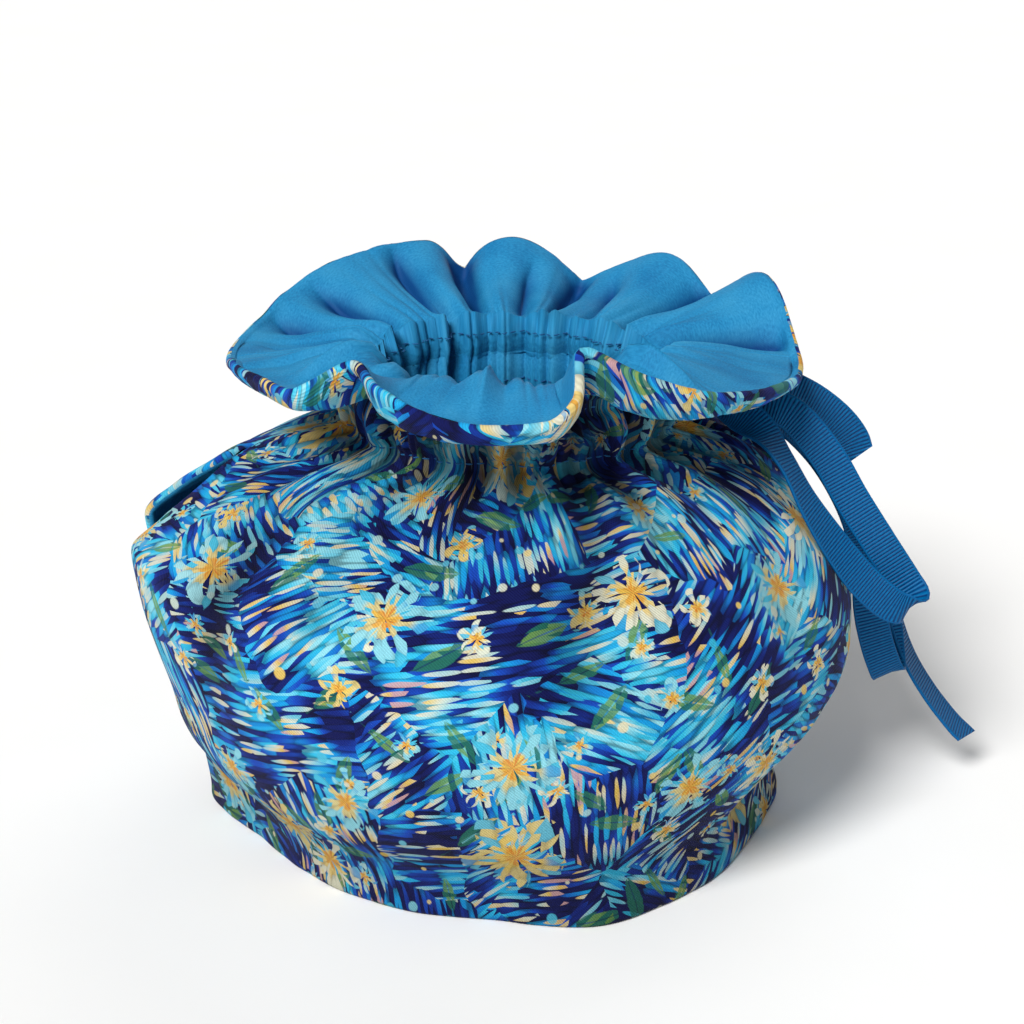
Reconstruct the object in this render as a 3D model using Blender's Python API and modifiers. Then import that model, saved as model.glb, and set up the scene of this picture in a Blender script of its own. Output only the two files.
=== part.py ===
"""Drawstring tea cosy of printed cotton with a plain lining, standing on its hem.

Two outer panels and two lining panels make one gathered cover: a full round belly, a
stitched drawstring channel at the neck and a wide wavy frill above it. Each side has a
lens-shaped slit. A grosgrain ribbon leaves the channel on the right and is tied in a bow.
X runs through the two slits with the bow at +X, the fuller front is at -Y, Z is up, and
the hem stands on Z = 0.
"""

import math

import bmesh
import bpy
import numpy as np

MM = 0.001
FULL_TURN = 360.0

# Driving sizes, in millimetres, measured from the neck's axis

NECK_X = -16.5
NECK_Y = 1.0
LOWER_SEAM_Z = 118.5
UPPER_SEAM_Z = 133.0
SEAM_RADIUS = 45.0
FRILL_CREST = 8.5
PRINT_THICKNESS = 1.4
LINING_THICKNESS = 1.2
PIECE_GAP = 0.3
COLUMNS = 80
PRINT_FIRST_ROW = 0
LINING_FIRST_ROW = 1
RIBBON_WIDTH = 10.0
RIBBON_THICKNESS = 1.0

# Body sections from hem to upper seam
# Columns: height, then the reach to the right, back, left and front

BODY = (
    (0.0, 80.0, 81.0, 90.0, 81.5),
    (4.0, 80.0, 81.0, 90.0, 81.5),
    (14.0, 77.6, 82.0, 91.6, 83.0),
    (28.0, 83.8, 88.0, 97.0, 91.0),
    (42.0, 94.0, 93.0, 99.5, 95.0),
    (56.0, 99.0, 95.0, 103.6, 97.0),
    (70.0, 98.5, 94.0, 107.6, 96.0),
    (84.0, 93.5, 88.0, 110.2, 90.0),
    (94.0, 87.0, 80.0, 101.0, 80.5),
    (102.0, 80.0, 70.0, 89.5, 69.5),
    (108.0, 72.5, 59.5, 80.0, 59.0),
    (113.0, 63.5, 52.0, 67.0, 52.0),
    (LOWER_SEAM_Z, 46.0, 45.0, 47.0, 45.0),
    (126.0, 48.0, 48.0, 48.0, 48.0),
    (UPPER_SEAM_Z, SEAM_RADIUS, SEAM_RADIUS, SEAM_RADIUS, SEAM_RADIUS),
)

# Uneven sway of the hem, which fades out above it
# Columns: angle, change of radius at the hem

HEM_SWAY = (
    (0.0, -0.6),
    (30.0, -1.6),
    (60.0, 1.5),
    (95.0, 0.0),
    (135.0, -2.5),
    (165.0, -1.0),
    (180.0, 0.4),
    (190.0, -3.6),
    (206.0, -10.0),
    (224.0, -9.0),
    (238.0, -5.2),
    (263.0, -3.0),
    (275.0, 0.0),
    (287.0, 3.6),
    (301.0, 0.6),
    (318.0, -2.2),
    (333.0, -4.4),
    (348.0, -3.0),
)
HEM_SWAY_FADE_Z = (4.0, 42.0)

# Frill rows above the upper seam
# Columns: share of the reach and height of a lying lobe, how much of the edge's own
# height that row takes, and the share of reach and rise where the frill stands

FRILL = (
    (0.07, 5.4, 0.00, 0.09, 0.17),
    (0.36, 4.4, 0.05, 0.36, 0.42),
    (0.66, 2.6, 0.15, 0.64, 0.68),
    (0.90, 3.2, 0.50, 0.88, 0.90),
    (1.00, 8.5, 1.00, 1.00, 1.00),
)

# Frill edge around the neck
# Columns: angle, radius, height, how far it stands (0 lies as a dish, 1 rises evenly)

FRILL_EDGE = (
    (4.0, 82.0, 138.0, 0.35),
    (24.0, 82.5, 150.5, 1.00),
    (39.0, 79.5, 141.5, 0.90),
    (54.0, 82.5, 147.5, 1.00),
    (73.0, 79.5, 139.5, 0.90),
    (90.0, 81.5, 149.8, 1.00),
    (101.0, 80.5, 145.8, 1.00),
    (109.0, 83.5, 150.2, 1.00),
    (131.0, 82.5, 147.0, 1.00),
    (145.0, 83.0, 141.5, 0.90),
    (156.0, 82.5, 137.0, 0.65),
    (174.0, 82.0, 134.6, 0.25),
    (192.0, 80.0, 138.5, 0.10),
    (210.0, 78.0, 141.0, 0.05),
    (223.0, 80.0, 143.0, 0.10),
    (233.0, 69.0, 150.5, 0.80),
    (243.0, 77.0, 148.5, 0.15),
    (254.0, 80.0, 143.5, 0.00),
    (266.0, 82.0, 140.8, 0.00),
    (277.0, 81.0, 142.0, 0.05),
    (283.5, 75.0, 146.5, 0.40),
    (289.5, 58.0, 153.6, 1.00),
    (298.0, 74.0, 150.0, 0.20),
    (310.0, 80.0, 144.5, 0.00),
    (330.0, 81.0, 139.0, 0.00),
    (350.0, 82.4, 135.0, 0.15),
)

# Gathers of the neck
# Columns: angle at the seams, angle and height where the fold has died out below,
# half width in degrees, depth at the seams

GATHERS = (
    (17.0, 19.0, 80.0, 5.6, 4.0),
    (32.0, 34.0, 92.0, 5.2, 4.4),
    (47.0, 46.0, 76.0, 6.0, 4.8),
    (62.0, 62.0, 95.0, 5.0, 4.0),
    (76.0, 73.0, 84.0, 5.8, 4.8),
    (92.0, 94.0, 90.0, 5.4, 4.2),
    (106.0, 104.0, 74.0, 6.2, 5.0),
    (121.0, 123.0, 94.0, 5.0, 4.0),
    (135.0, 133.0, 82.0, 5.8, 4.6),
    (150.0, 153.0, 90.0, 5.4, 4.4),
    (165.0, 162.0, 80.0, 5.2, 4.0),
    (195.0, 199.0, 92.0, 5.0, 3.8),
    (208.0, 213.0, 88.0, 5.4, 4.6),
    (222.0, 226.0, 92.0, 5.4, 4.6),
    (236.0, 238.0, 84.0, 5.2, 4.4),
    (248.0, 247.0, 90.0, 5.2, 4.8),
    (260.0, 257.0, 82.0, 5.6, 4.6),
    (273.0, 268.0, 90.0, 5.2, 4.2),
    (289.0, 281.0, 70.0, 5.8, 5.6),
    (303.0, 297.0, 86.0, 5.4, 4.6),
    (316.0, 311.0, 92.0, 5.2, 4.4),
    (330.0, 328.0, 82.0, 5.6, 4.6),
    (344.0, 343.0, 88.0, 5.0, 3.8),
)

# Long creases of the body, each a valley through three heights
# Columns: angle and height at the top, in the middle and at the bottom, half width in
# degrees, depth in the middle

CREASES = (
    (214.0, 114.0, 222.0, 92.0, 209.0, 24.0, 6.5, 4.6),
    (287.0, 114.0, 279.0, 84.0, 281.0, 44.0, 5.0, 3.4),
    (246.0, 108.0, 240.0, 88.0, 236.0, 66.0, 5.0, 2.2),
    (325.0, 108.0, 322.0, 84.0, 327.0, 50.0, 5.5, 2.4),
    (340.0, 36.0, 333.0, 18.0, 325.0, 5.0, 6.0, 2.6),
    (198.0, 34.0, 203.0, 18.0, 212.0, 5.0, 6.0, 2.4),
    (150.0, 104.0, 146.0, 80.0, 149.0, 40.0, 6.0, 3.0),
    (104.0, 106.0, 98.0, 80.0, 101.0, 46.0, 5.5, 3.0),
    (46.0, 106.0, 50.0, 78.0, 45.0, 38.0, 6.0, 3.2),
    (24.0, 34.0, 31.0, 18.0, 42.0, 5.0, 6.5, 2.4),
)

# Creases of the frill, seen from the lining
# Columns: angle at the seam, angle at the edge, share of the frill that they reach,
# half width in degrees, depth (below zero pushes the cloth outwards and down)

FRILL_CREASES = (
    (14.0, 6.0, 0.95, 4.5, -3.0),
    (43.0, 41.0, 1.10, 4.5, -3.4),
    (60.0, 66.0, 0.80, 4.0, -2.4),
    (76.0, 74.0, 1.10, 4.0, -3.0),
    (88.0, 84.0, 0.75, 3.6, -2.2),
    (103.0, 100.5, 1.15, 3.6, -3.8),
    (119.0, 117.0, 0.95, 4.2, -2.8),
    (138.0, 141.0, 0.85, 4.4, -2.6),
    (156.0, 153.0, 0.90, 4.6, -2.8),
    (176.0, 168.0, 0.70, 4.6, -2.0),
    (205.0, 203.0, 0.60, 4.6, 1.8),
    (262.0, 262.0, 0.55, 4.6, 1.6),
    (318.0, 320.0, 0.60, 5.0, 1.8),
)

# Side slits, in the plane of Y and Z
# Columns: height, half width

LEFT_SLIT = (
    (38.0, 0.0),
    (46.0, 4.6),
    (60.0, 10.0),
    (76.0, 13.4),
    (88.0, 13.6),
    (100.0, 9.6),
    (108.0, 4.6),
    (111.5, 0.0),
)
RIGHT_SLIT = (
    (28.0, 0.0),
    (36.0, 3.2),
    (50.0, 7.4),
    (66.0, 9.6),
    (82.0, 9.8),
    (96.0, 6.8),
    (105.0, 3.0),
    (109.0, 0.0),
)

# Ribbon strands, by hand
# Columns: position, then the way that the ribbon's width points

KNOT_CENTRE = (53.9, -0.6, 125.0)
KNOT_SIZE = (10.4, 12.0, 11.0)
KNOT_ROUNDING = 2.6
NEAR_LOOP = (
    (54.0, -1.0, 125.0, 0.1, 0.5, 0.8),
    (60.0, -3.0, 124.6, 0.1, 0.5, 0.8),
    (70.0, -6.0, 124.8, 0.3, 0.6, 0.6),
    (79.0, -8.0, 122.0, 0.7, 0.3, 0.6),
    (88.9, -10.0, 110.8, 0.8, 0.2, 0.57),
    (96.6, -12.0, 98.0, 0.8, 0.15, 0.57),
    (105.0, -14.0, 85.1, 0.8, 0.15, 0.57),
    (112.0, -15.0, 74.5, 0.78, 0.1, 0.6),
    (114.6, -17.6, 70.4, 0.72, 0.1, 0.68),
    (112.6, -20.6, 68.4, 0.72, 0.1, 0.68),
    (107.5, -22.4, 70.2, 0.74, 0.15, 0.62),
    (98.8, -24.6, 78.5, 0.76, 0.4, 0.5),
    (90.1, -26.0, 90.0, 0.6, 0.65, 0.42),
    (82.4, -26.0, 101.8, 0.42, 0.85, 0.3),
    (76.0, -23.0, 113.2, 0.3, 0.95, 0.2),
    (69.0, -16.0, 120.8, 0.1, 0.8, 0.5),
    (60.0, -5.5, 123.8, 0.1, 0.5, 0.8),
    (54.0, -1.5, 124.6, 0.1, 0.5, 0.8),
)
FAR_LOOP = (
    (54.0, 0.0, 125.0, 0.0, 0.6, 0.8),
    (62.0, 1.2, 123.4, 0.1, 0.7, 0.7),
    (74.0, 3.6, 119.0, 0.3, 0.85, 0.4),
    (88.0, 5.0, 107.0, 0.6, 0.7, 0.4),
    (98.6, 5.0, 91.0, 0.8, 0.4, 0.35),
    (104.0, 4.0, 75.0, 0.9, 0.2, 0.3),
    (105.6, 3.2, 59.0, 0.94, 0.1, 0.25),
    (108.2, 3.6, 47.8, 0.94, 0.1, 0.3),
    (111.6, 5.4, 38.4, 0.92, 0.1, 0.35),
    (113.2, 8.0, 36.2, 0.92, 0.1, 0.35),
    (113.4, 10.8, 39.6, 0.92, 0.1, 0.3),
    (112.0, 12.4, 52.0, 0.9, 0.3, 0.25),
    (109.0, 12.6, 68.0, 0.85, 0.45, 0.25),
    (103.0, 11.8, 86.0, 0.7, 0.65, 0.25),
    (92.0, 10.2, 102.6, 0.5, 0.8, 0.3),
    (77.0, 7.0, 116.4, 0.2, 0.9, 0.4),
    (63.0, 2.4, 122.0, 0.1, 0.7, 0.7),
    (54.0, 0.5, 124.6, 0.0, 0.6, 0.8),
)
LONG_TAIL = (
    (54.0, 0.5, 124.8, 0.0, 0.6, 0.8),
    (64.0, 5.6, 122.8, 0.1, 0.8, 0.5),
    (79.0, 13.4, 115.6, 0.2, 0.9, 0.3),
    (94.0, 18.2, 101.0, 0.3, 0.9, 0.25),
    (105.0, 19.6, 83.4, 0.35, 0.9, 0.2),
    (111.4, 18.4, 65.4, 0.4, 0.9, 0.2),
    (115.4, 16.4, 50.2, 0.36, 0.9, 0.2),
    (120.2, 14.4, 37.8, 0.32, 0.9, 0.2),
    (126.4, 12.6, 27.6, 0.3, 0.9, 0.2),
    (133.6, 11.2, 18.4, 0.3, 0.9, 0.2),
    (138.4, 10.6, 13.6, 0.3, 0.9, 0.2),
)
SHORT_TAIL = (
    (54.0, 0.0, 125.4, 0.0, 0.6, 0.8),
    (64.0, 3.4, 127.2, 0.1, 0.8, 0.4),
    (75.0, 6.4, 127.4, 0.3, 0.7, 0.5),
    (84.8, 8.0, 122.6, 0.6, 0.4, 0.65),
    (93.4, 9.4, 115.8, 0.76, 0.2, 0.6),
    (98.6, 10.2, 109.4, 0.9, 0.1, 0.4),
    (100.8, 10.4, 103.6, 0.97, 0.1, 0.2),
)
STEPS_PER_POINT = 2
LONG_TAIL_SLANT = 4.5
SHORT_TAIL_SLANT = -3.0

# Finishes
# Columns: linear colour, roughness

PRINT_FINISH = ((0.02, 0.16, 0.42), 0.85)
LINING_FINISH = ((0.05, 0.26, 0.62), 0.88)
RIBBON_FINISH = ((0.0, 0.15, 0.45), 0.55)

CUTTER_REACH = 260.0
CUTTER_TOP = 200.0
CUTTER_BOTTOM = -40.0
CUTTER_STATIONS = (-CUTTER_REACH, -20.0, 20.0, CUTTER_REACH)

# How folds begin and end

SEAM_CALM_DEGREES = 9.0
GATHER_FADE_POWER = 1.3
GATHER_FRILL_SHARE = 0.5
CREASE_START_SHARE = 0.25
CREASE_END_SHARE = 0.3
NORMAL_STEP_ROWS = 0.02
NORMAL_STEP_DEGREES = 0.4


def smooth(knots, values, at):
    """Monotone cubic through the knots, evaluated at each place."""
    knots, values = np.asarray(knots, float), np.asarray(values, float)
    at = np.clip(at, knots[0], knots[-1])
    spans = np.diff(knots)
    rates = np.diff(values) / spans
    slopes = np.zeros(len(knots))
    same_way = rates[:-1] * rates[1:] > 0
    before, after = rates[:-1][same_way], rates[1:][same_way]
    slopes[1:-1][same_way] = 2 * before * after / (before + after)
    slopes[0], slopes[-1] = rates[0], rates[-1]
    k = np.clip(np.searchsorted(knots, at, side="right") - 1, 0, len(spans) - 1)
    h = spans[k]
    t = (at - knots[k]) / h
    start = (1 + 2 * t) * (1 - t) ** 2 * values[k] + t * (1 - t) ** 2 * h * slopes[k]
    end = t * t * (3 - 2 * t) * values[k + 1] + t * t * (t - 1) * h * slopes[k + 1]
    return start + end


def around(table, column, angles):
    """Smooth periodic value of one column of a table whose first column is an angle."""
    knots = np.array([row[0] for row in table])
    values = np.array([row[column] for row in table])
    knots = np.concatenate([knots - FULL_TURN, knots, knots + FULL_TURN])
    return smooth(knots, np.tile(values, 3), np.mod(angles, FULL_TURN))


def turn_between(angles, centre):
    """Signed difference of two angles, within half a turn."""
    return np.mod(angles - centre + FULL_TURN / 2, FULL_TURN) - FULL_TURN / 2


def bump(offset, half_width):
    return np.exp(-((offset / half_width) ** 2))


def body_point(rows, angles):
    """Places on the smooth body at row numbers of the body table."""
    index = np.arange(len(BODY))
    table = np.array(BODY)
    height, right, back, left, front = (smooth(index, table[:, k], rows) for k in range(5))
    across, away = np.cos(np.radians(angles)), np.sin(np.radians(angles))
    x = np.where(across > 0, right, left) * across
    y = np.where(away > 0, back, front) * away
    low, high = HEM_SWAY_FADE_Z
    fade = 1 - np.clip((height - low) / (high - low), 0.0, 1.0)
    sway = around(HEM_SWAY, 1, angles) * fade * fade * (3 - 2 * fade)
    return np.stack([x + sway * across, y + sway * away, height], -1)


def frill_point(shares, angles):
    """Places on the smooth frill at shares of its width, 0 at the upper seam."""
    index = np.arange(len(FRILL) + 1) / len(FRILL)
    table = np.array(((0.0,) * 5,) + FRILL)
    reach, lie, own, stand_reach, stand_rise = (smooth(index, table[:, k], shares) for k in range(5))
    edge_radius, edge_height, stands = (around(FRILL_EDGE, k, angles) for k in (1, 2, 3))
    out = reach + (stand_reach - reach) * stands
    radius = SEAM_RADIUS + (edge_radius - SEAM_RADIUS) * out
    edge_rise = edge_height - UPPER_SEAM_Z
    lying = lie + (edge_rise - FRILL_CREST) * own
    height = UPPER_SEAM_Z + lying + (edge_rise * stand_rise - lying) * stands
    x = radius * np.cos(np.radians(angles))
    y = radius * np.sin(np.radians(angles))
    return np.stack([x, y, height], -1)


def calm_at_side_seams(angles):
    """0 on the side seams and 1 away from them, so that folds meet flat there."""
    nearest = np.minimum(np.abs(turn_between(angles, 0.0)), np.abs(turn_between(angles, FULL_TURN / 2)))
    share = np.clip(nearest / SEAM_CALM_DEGREES, 0.0, 1.0)
    return share * share * (3 - 2 * share)


def fold_depth(rows, angles):
    """How far the folds push the cloth inwards."""
    last_body_row = len(BODY) - 1
    index = np.arange(len(BODY))
    height = smooth(index, [row[0] for row in BODY], rows)
    frill = np.clip((rows - last_body_row) / len(FRILL), 0.0, 1.0)
    depth = np.zeros(np.broadcast(rows, angles).shape)
    for neck, low, low_z, width, deep in GATHERS:
        down = np.clip((LOWER_SEAM_Z - height) / (LOWER_SEAM_Z - low_z), 0.0, 1.0)
        fade = (1 - down) ** GATHER_FADE_POWER * np.clip(1 - frill / GATHER_FRILL_SHARE, 0.0, 1.0)
        depth += deep * fade * bump(turn_between(angles, neck + (low - neck) * down), width)
    for top, top_z, middle, middle_z, low, low_z, width, deep in CREASES:
        centre = smooth((low_z, middle_z, top_z), (low, middle, top), height)
        upper = np.clip((top_z - height) / (top_z - middle_z), 0.0, 1.0)
        lower = np.clip((height - low_z) / (middle_z - low_z), 0.0, 1.0)
        fade = np.sin(np.minimum(upper, lower) * math.pi / 2) ** 2 * (frill <= 0)
        depth += deep * fade * bump(turn_between(angles, centre), width)
    for seam, edge, reach, width, deep in FRILL_CREASES:
        begin = np.sin(np.clip(frill / CREASE_START_SHARE, 0.0, 1.0) * math.pi / 2)
        fade = begin * np.clip((reach - frill) / CREASE_END_SHARE, 0.0, 1.0)
        depth += deep * fade * bump(turn_between(angles, seam + (edge - seam) * frill), width)
    return depth * calm_at_side_seams(angles)


def smooth_point(rows, angles):
    last_body_row = len(BODY) - 1
    body = body_point(np.minimum(rows, last_body_row), angles)
    frill = frill_point(np.clip((rows - last_body_row) / len(FRILL), 0.0, 1.0), angles)
    return np.where((rows > last_body_row)[..., None], frill, body)


def cloth_point(rows, angles):
    """Places on the outer face of the cosy, in millimetres from the neck's axis."""
    last_row = len(BODY) - 1 + len(FRILL)
    here = smooth_point(rows, angles)
    along = smooth_point(rows, angles + NORMAL_STEP_DEGREES) - smooth_point(rows, angles - NORMAL_STEP_DEGREES)
    up = smooth_point(np.minimum(rows + NORMAL_STEP_ROWS, last_row), angles)
    up = up - smooth_point(np.maximum(rows - NORMAL_STEP_ROWS, 0.0), angles)
    normal = np.cross(along, up)
    normal /= np.linalg.norm(normal, axis=-1, keepdims=True)
    return here - normal * fold_depth(rows, angles)[..., None]


def placed(points):
    """Millimetres from the neck's axis to metres in the part's own frame."""
    return (np.asarray(points, float) + (NECK_X, NECK_Y, 0.0)) * MM


def new_object(name, points, faces, collection):
    mesh = bpy.data.meshes.new(name)
    mesh.from_pydata([tuple(p) for p in points], [], faces)
    mesh.validate()
    made = bpy.data.objects.new(name, mesh)
    collection.objects.link(made)
    return made


def material(name, finish):
    colour, roughness = finish
    made = bpy.data.materials.new(name)
    made.use_nodes = True
    shader = made.node_tree.nodes["Principled BSDF"]
    shader.inputs["Base Color"].default_value = (*colour, 1.0)
    shader.inputs["Roughness"].default_value = roughness
    shader.inputs["Metallic"].default_value = 0.0
    made.diffuse_color = (*colour, 1.0)
    return made


def tube_of_cloth(name, first_row, collection):
    """The whole cosy from one row upwards as an open tube, its faces pointing out."""
    rows = np.arange(first_row, len(BODY) + len(FRILL), dtype=float)
    angles = (np.arange(COLUMNS) + 0.5) * FULL_TURN / COLUMNS
    row_grid, angle_grid = np.meshgrid(rows, angles, indexing="ij")
    points = placed(cloth_point(row_grid, angle_grid)).reshape(-1, 3)
    faces = []
    for r in range(len(rows) - 1):
        for c in range(COLUMNS):
            d = (c + 1) % COLUMNS
            low, high = r * COLUMNS, (r + 1) * COLUMNS
            faces.append((low + c, low + d, high + d, high + c))
    return new_object(name, points, faces, collection)


def half_cutter(name, side, collection):
    """A block over the half space beyond a side seam, with both slits added to its face.

    side is 1 for the cutter that takes away +Y and -1 for the one that takes away -Y.
    """
    points, faces = [], []
    for x in CUTTER_STATIONS:
        slit = RIGHT_SLIT if x > 0 else LEFT_SLIT
        outline = [(CUTTER_BOTTOM, 0.0), *slit, (CUTTER_TOP, 0.0)]
        face = [(x, -side * max(half, PIECE_GAP / 2), z) for z, half in outline]
        face.append((x, side * CUTTER_REACH, CUTTER_TOP))
        face.append((x, side * CUTTER_REACH, CUTTER_BOTTOM))
        points += face
    count = len(face)
    for station in range(len(CUTTER_STATIONS) - 1):
        low, high = station * count, (station + 1) * count
        for k in range(count):
            n = (k + 1) % count
            faces.append((low + k, low + n, high + n, high + k))
    faces.append(tuple(range(count)))
    faces.append(tuple(reversed(range(len(points) - count, len(points)))))
    made = new_object(name, placed(points), faces, collection)
    face_outwards(made)
    return made


def face_outwards(made):
    shape = bmesh.new()
    shape.from_mesh(made.data)
    bmesh.ops.recalc_face_normals(shape, faces=shape.faces)
    shape.to_mesh(made.data)
    shape.free()


def cloth_piece(name, first_row, inset, thickness, cutter, finish, collection):
    """Half of the cosy as a sheet of the given thickness, set in from the outer face."""
    made = tube_of_cloth(name, first_row, collection)
    if inset:
        step_in = made.modifiers.new("Set in", "DISPLACE")
        step_in.direction = "NORMAL"
        step_in.mid_level = 0.0
        step_in.strength = -inset * MM
    shell = made.modifiers.new("Thickness", "SOLIDIFY")
    shell.thickness = thickness * MM
    shell.offset = -1.0
    cut = made.modifiers.new("Half and slits", "BOOLEAN")
    cut.operation = "DIFFERENCE"
    cut.solver = "EXACT"
    cut.object = cutter
    made.data.materials.append(finish)
    return made


def strand(name, table, slant, collection):
    """A flat strip through the table's places, with a slanted free end."""
    table = np.array(table)
    index = np.arange(len(table))
    at = np.linspace(0, len(table) - 1, (len(table) - 1) * STEPS_PER_POINT + 1)
    path = np.stack([smooth(index, table[:, k], at) for k in range(3)], -1)
    width = np.stack([smooth(index, table[:, k], at) for k in range(3, 6)], -1)
    along = np.gradient(path, axis=0)
    along /= np.linalg.norm(along, axis=1, keepdims=True)
    width -= along * (width * along).sum(1, keepdims=True)
    width /= np.linalg.norm(width, axis=1, keepdims=True)
    lead = np.zeros(len(at))
    lead[-1] = slant
    sides = []
    for half in (-0.5, 0.5):
        sides.append(path + width * half * RIBBON_WIDTH + along * (half * lead)[:, None])
    points = placed(np.concatenate(sides))
    count = len(at)
    faces = [(k, k + 1, count + k + 1, count + k) for k in range(count - 1)]
    made = new_object(name, points, faces, collection)
    shell = made.modifiers.new("Thickness", "SOLIDIFY")
    shell.thickness = RIBBON_THICKNESS * MM
    shell.offset = 0.0
    return made


def knot(name, collection):
    """The rounded lump of the bow's knot."""
    shape = bmesh.new()
    bmesh.ops.create_cube(shape, size=1.0)
    for vertex in shape.verts:
        vertex.co = [c * s * MM for c, s in zip(vertex.co, KNOT_SIZE)]
    mesh = bpy.data.meshes.new(name)
    shape.to_mesh(mesh)
    shape.free()
    made = bpy.data.objects.new(name, mesh)
    made.location = placed(KNOT_CENTRE)
    collection.objects.link(made)
    rounding = made.modifiers.new("Rounding", "BEVEL")
    rounding.width = KNOT_ROUNDING * MM
    rounding.segments = 2
    return made


def ribbon_bow(finish, collection, helpers):
    """Knot, loops and tails joined in one ribbon."""
    made = knot("ribbon_tie", collection)
    strands = (
        ("near_loop", NEAR_LOOP, 0.0),
        ("far_loop", FAR_LOOP, 0.0),
        ("long_tail", LONG_TAIL, LONG_TAIL_SLANT),
        ("short_tail", SHORT_TAIL, SHORT_TAIL_SLANT),
    )
    for name, table, slant in strands:
        join = made.modifiers.new(name, "BOOLEAN")
        join.operation = "UNION"
        join.solver = "EXACT"
        join.use_self = True
        join.object = strand(name, table, slant, helpers)
    made.data.materials.append(finish)
    return made


def hide(objects):
    for helper in objects:
        helper.hide_render = True
        helper.display_type = "WIRE"


def clear_scene():
    for old in list(bpy.data.objects):
        bpy.data.objects.remove(old, do_unlink=True)


def main():
    clear_scene()
    cosy = bpy.data.collections.new("Tea cosy")
    helpers = bpy.data.collections.new("Cutters")
    bpy.context.scene.collection.children.link(cosy)
    bpy.context.scene.collection.children.link(helpers)

    printed = material("printed_cotton", PRINT_FINISH)
    plain = material("lining_cotton", LINING_FINISH)
    grosgrain = material("ribbon_grosgrain", RIBBON_FINISH)

    away_back = half_cutter("cutter_back_half", 1, helpers)
    away_front = half_cutter("cutter_front_half", -1, helpers)
    inset = PRINT_THICKNESS + PIECE_GAP
    outer = (PRINT_FIRST_ROW, 0.0, PRINT_THICKNESS)
    inner = (LINING_FIRST_ROW, inset, LINING_THICKNESS)
    cloth_piece("front_panel", *outer, away_back, printed, cosy)
    cloth_piece("back_panel", *outer, away_front, printed, cosy)
    cloth_piece("front_lining", *inner, away_back, plain, cosy)
    cloth_piece("back_lining", *inner, away_front, plain, cosy)
    ribbon_bow(grosgrain, cosy, helpers)

    helpers.hide_render = True
    hide(helpers.objects)


main()
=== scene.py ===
"""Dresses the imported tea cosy: printed cotton, plain lining, channel stitching and bow.

Every cloth is rebuilt from the same section, edge and fold tables as its solid, at a fine
pitch, with its turned edges, pleats and seams. Lengths are in millimetres from the
neck's axis until they are placed in the frame's metres.
"""

import logging
import math
from collections.abc import Sequence
from dataclasses import dataclass, field
from enum import Enum
from typing import Any

import bpy
import numpy as np
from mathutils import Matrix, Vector


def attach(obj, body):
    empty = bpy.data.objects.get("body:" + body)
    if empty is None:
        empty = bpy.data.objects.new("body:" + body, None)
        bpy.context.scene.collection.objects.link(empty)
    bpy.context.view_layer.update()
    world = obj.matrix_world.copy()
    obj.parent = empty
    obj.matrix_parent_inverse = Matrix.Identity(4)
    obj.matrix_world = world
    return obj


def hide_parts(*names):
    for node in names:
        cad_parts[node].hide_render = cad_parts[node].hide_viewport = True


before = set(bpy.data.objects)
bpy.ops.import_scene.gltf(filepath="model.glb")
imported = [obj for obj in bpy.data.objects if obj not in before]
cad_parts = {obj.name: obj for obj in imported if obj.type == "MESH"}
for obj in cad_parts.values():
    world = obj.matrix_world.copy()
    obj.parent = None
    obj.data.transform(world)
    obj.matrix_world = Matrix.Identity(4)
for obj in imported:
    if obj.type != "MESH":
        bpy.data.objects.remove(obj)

log = logging.getLogger("tea_cosy")

Table = tuple[tuple[float, ...], ...]
Numbers = np.ndarray
Colour = tuple[float, float, float]
Stops = Sequence[tuple[float, Colour]]
Inputs = dict[str | int, Any]

MM = 0.001
FULL_TURN = 360.0
HALF_TURN = 180.0
NECK_AT = (-16.5, 1.0, 0.0)
ONLY_BODY = "root"
CLOTH_MAP = "cloth"
VALLEYS = "valley"
ANY_TURN = 6.3

# Body sections from hem to upper seam: height, then the reach to the right, back, left and front

BODY = (
    (0.0, 80.0, 81.0, 90.0, 81.5),
    (4.0, 80.0, 81.0, 90.0, 81.5),
    (14.0, 77.6, 82.0, 91.6, 83.0),
    (28.0, 83.8, 88.0, 97.0, 91.0),
    (42.0, 94.0, 93.0, 99.5, 95.0),
    (56.0, 99.0, 95.0, 103.6, 97.0),
    (70.0, 98.5, 94.0, 107.6, 96.0),
    (84.0, 93.5, 88.0, 110.2, 90.0),
    (94.0, 87.0, 80.0, 101.0, 80.5),
    (102.0, 80.0, 70.0, 89.5, 69.5),
    (108.0, 72.5, 59.5, 80.0, 59.0),
    (113.0, 63.5, 52.0, 67.0, 52.0),
    (118.5, 46.0, 45.0, 47.0, 45.0),
    (126.0, 48.0, 48.0, 48.0, 48.0),
    (133.0, 45.0, 45.0, 45.0, 45.0),
)

# Uneven sway of the hem: angle, change of radius

HEM_SWAY = (
    (0.0, -0.6),
    (30.0, -1.6),
    (60.0, 1.5),
    (95.0, 0.0),
    (135.0, -2.5),
    (165.0, -1.0),
    (180.0, 0.4),
    (190.0, -3.6),
    (206.0, -10.0),
    (224.0, -9.0),
    (238.0, -5.2),
    (263.0, -3.0),
    (275.0, 0.0),
    (287.0, 3.6),
    (301.0, 0.6),
    (318.0, -2.2),
    (333.0, -4.4),
    (348.0, -3.0),
)

# Frill rows: lying reach and height, share of the edge's own height, standing reach and rise

FRILL = (
    (0.07, 5.4, 0.00, 0.09, 0.17),
    (0.36, 4.4, 0.05, 0.36, 0.42),
    (0.66, 2.6, 0.15, 0.64, 0.68),
    (0.90, 3.2, 0.50, 0.88, 0.90),
    (1.00, 8.5, 1.00, 1.00, 1.00),
)

# Frill edge: angle, radius, height, how far it stands

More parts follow.
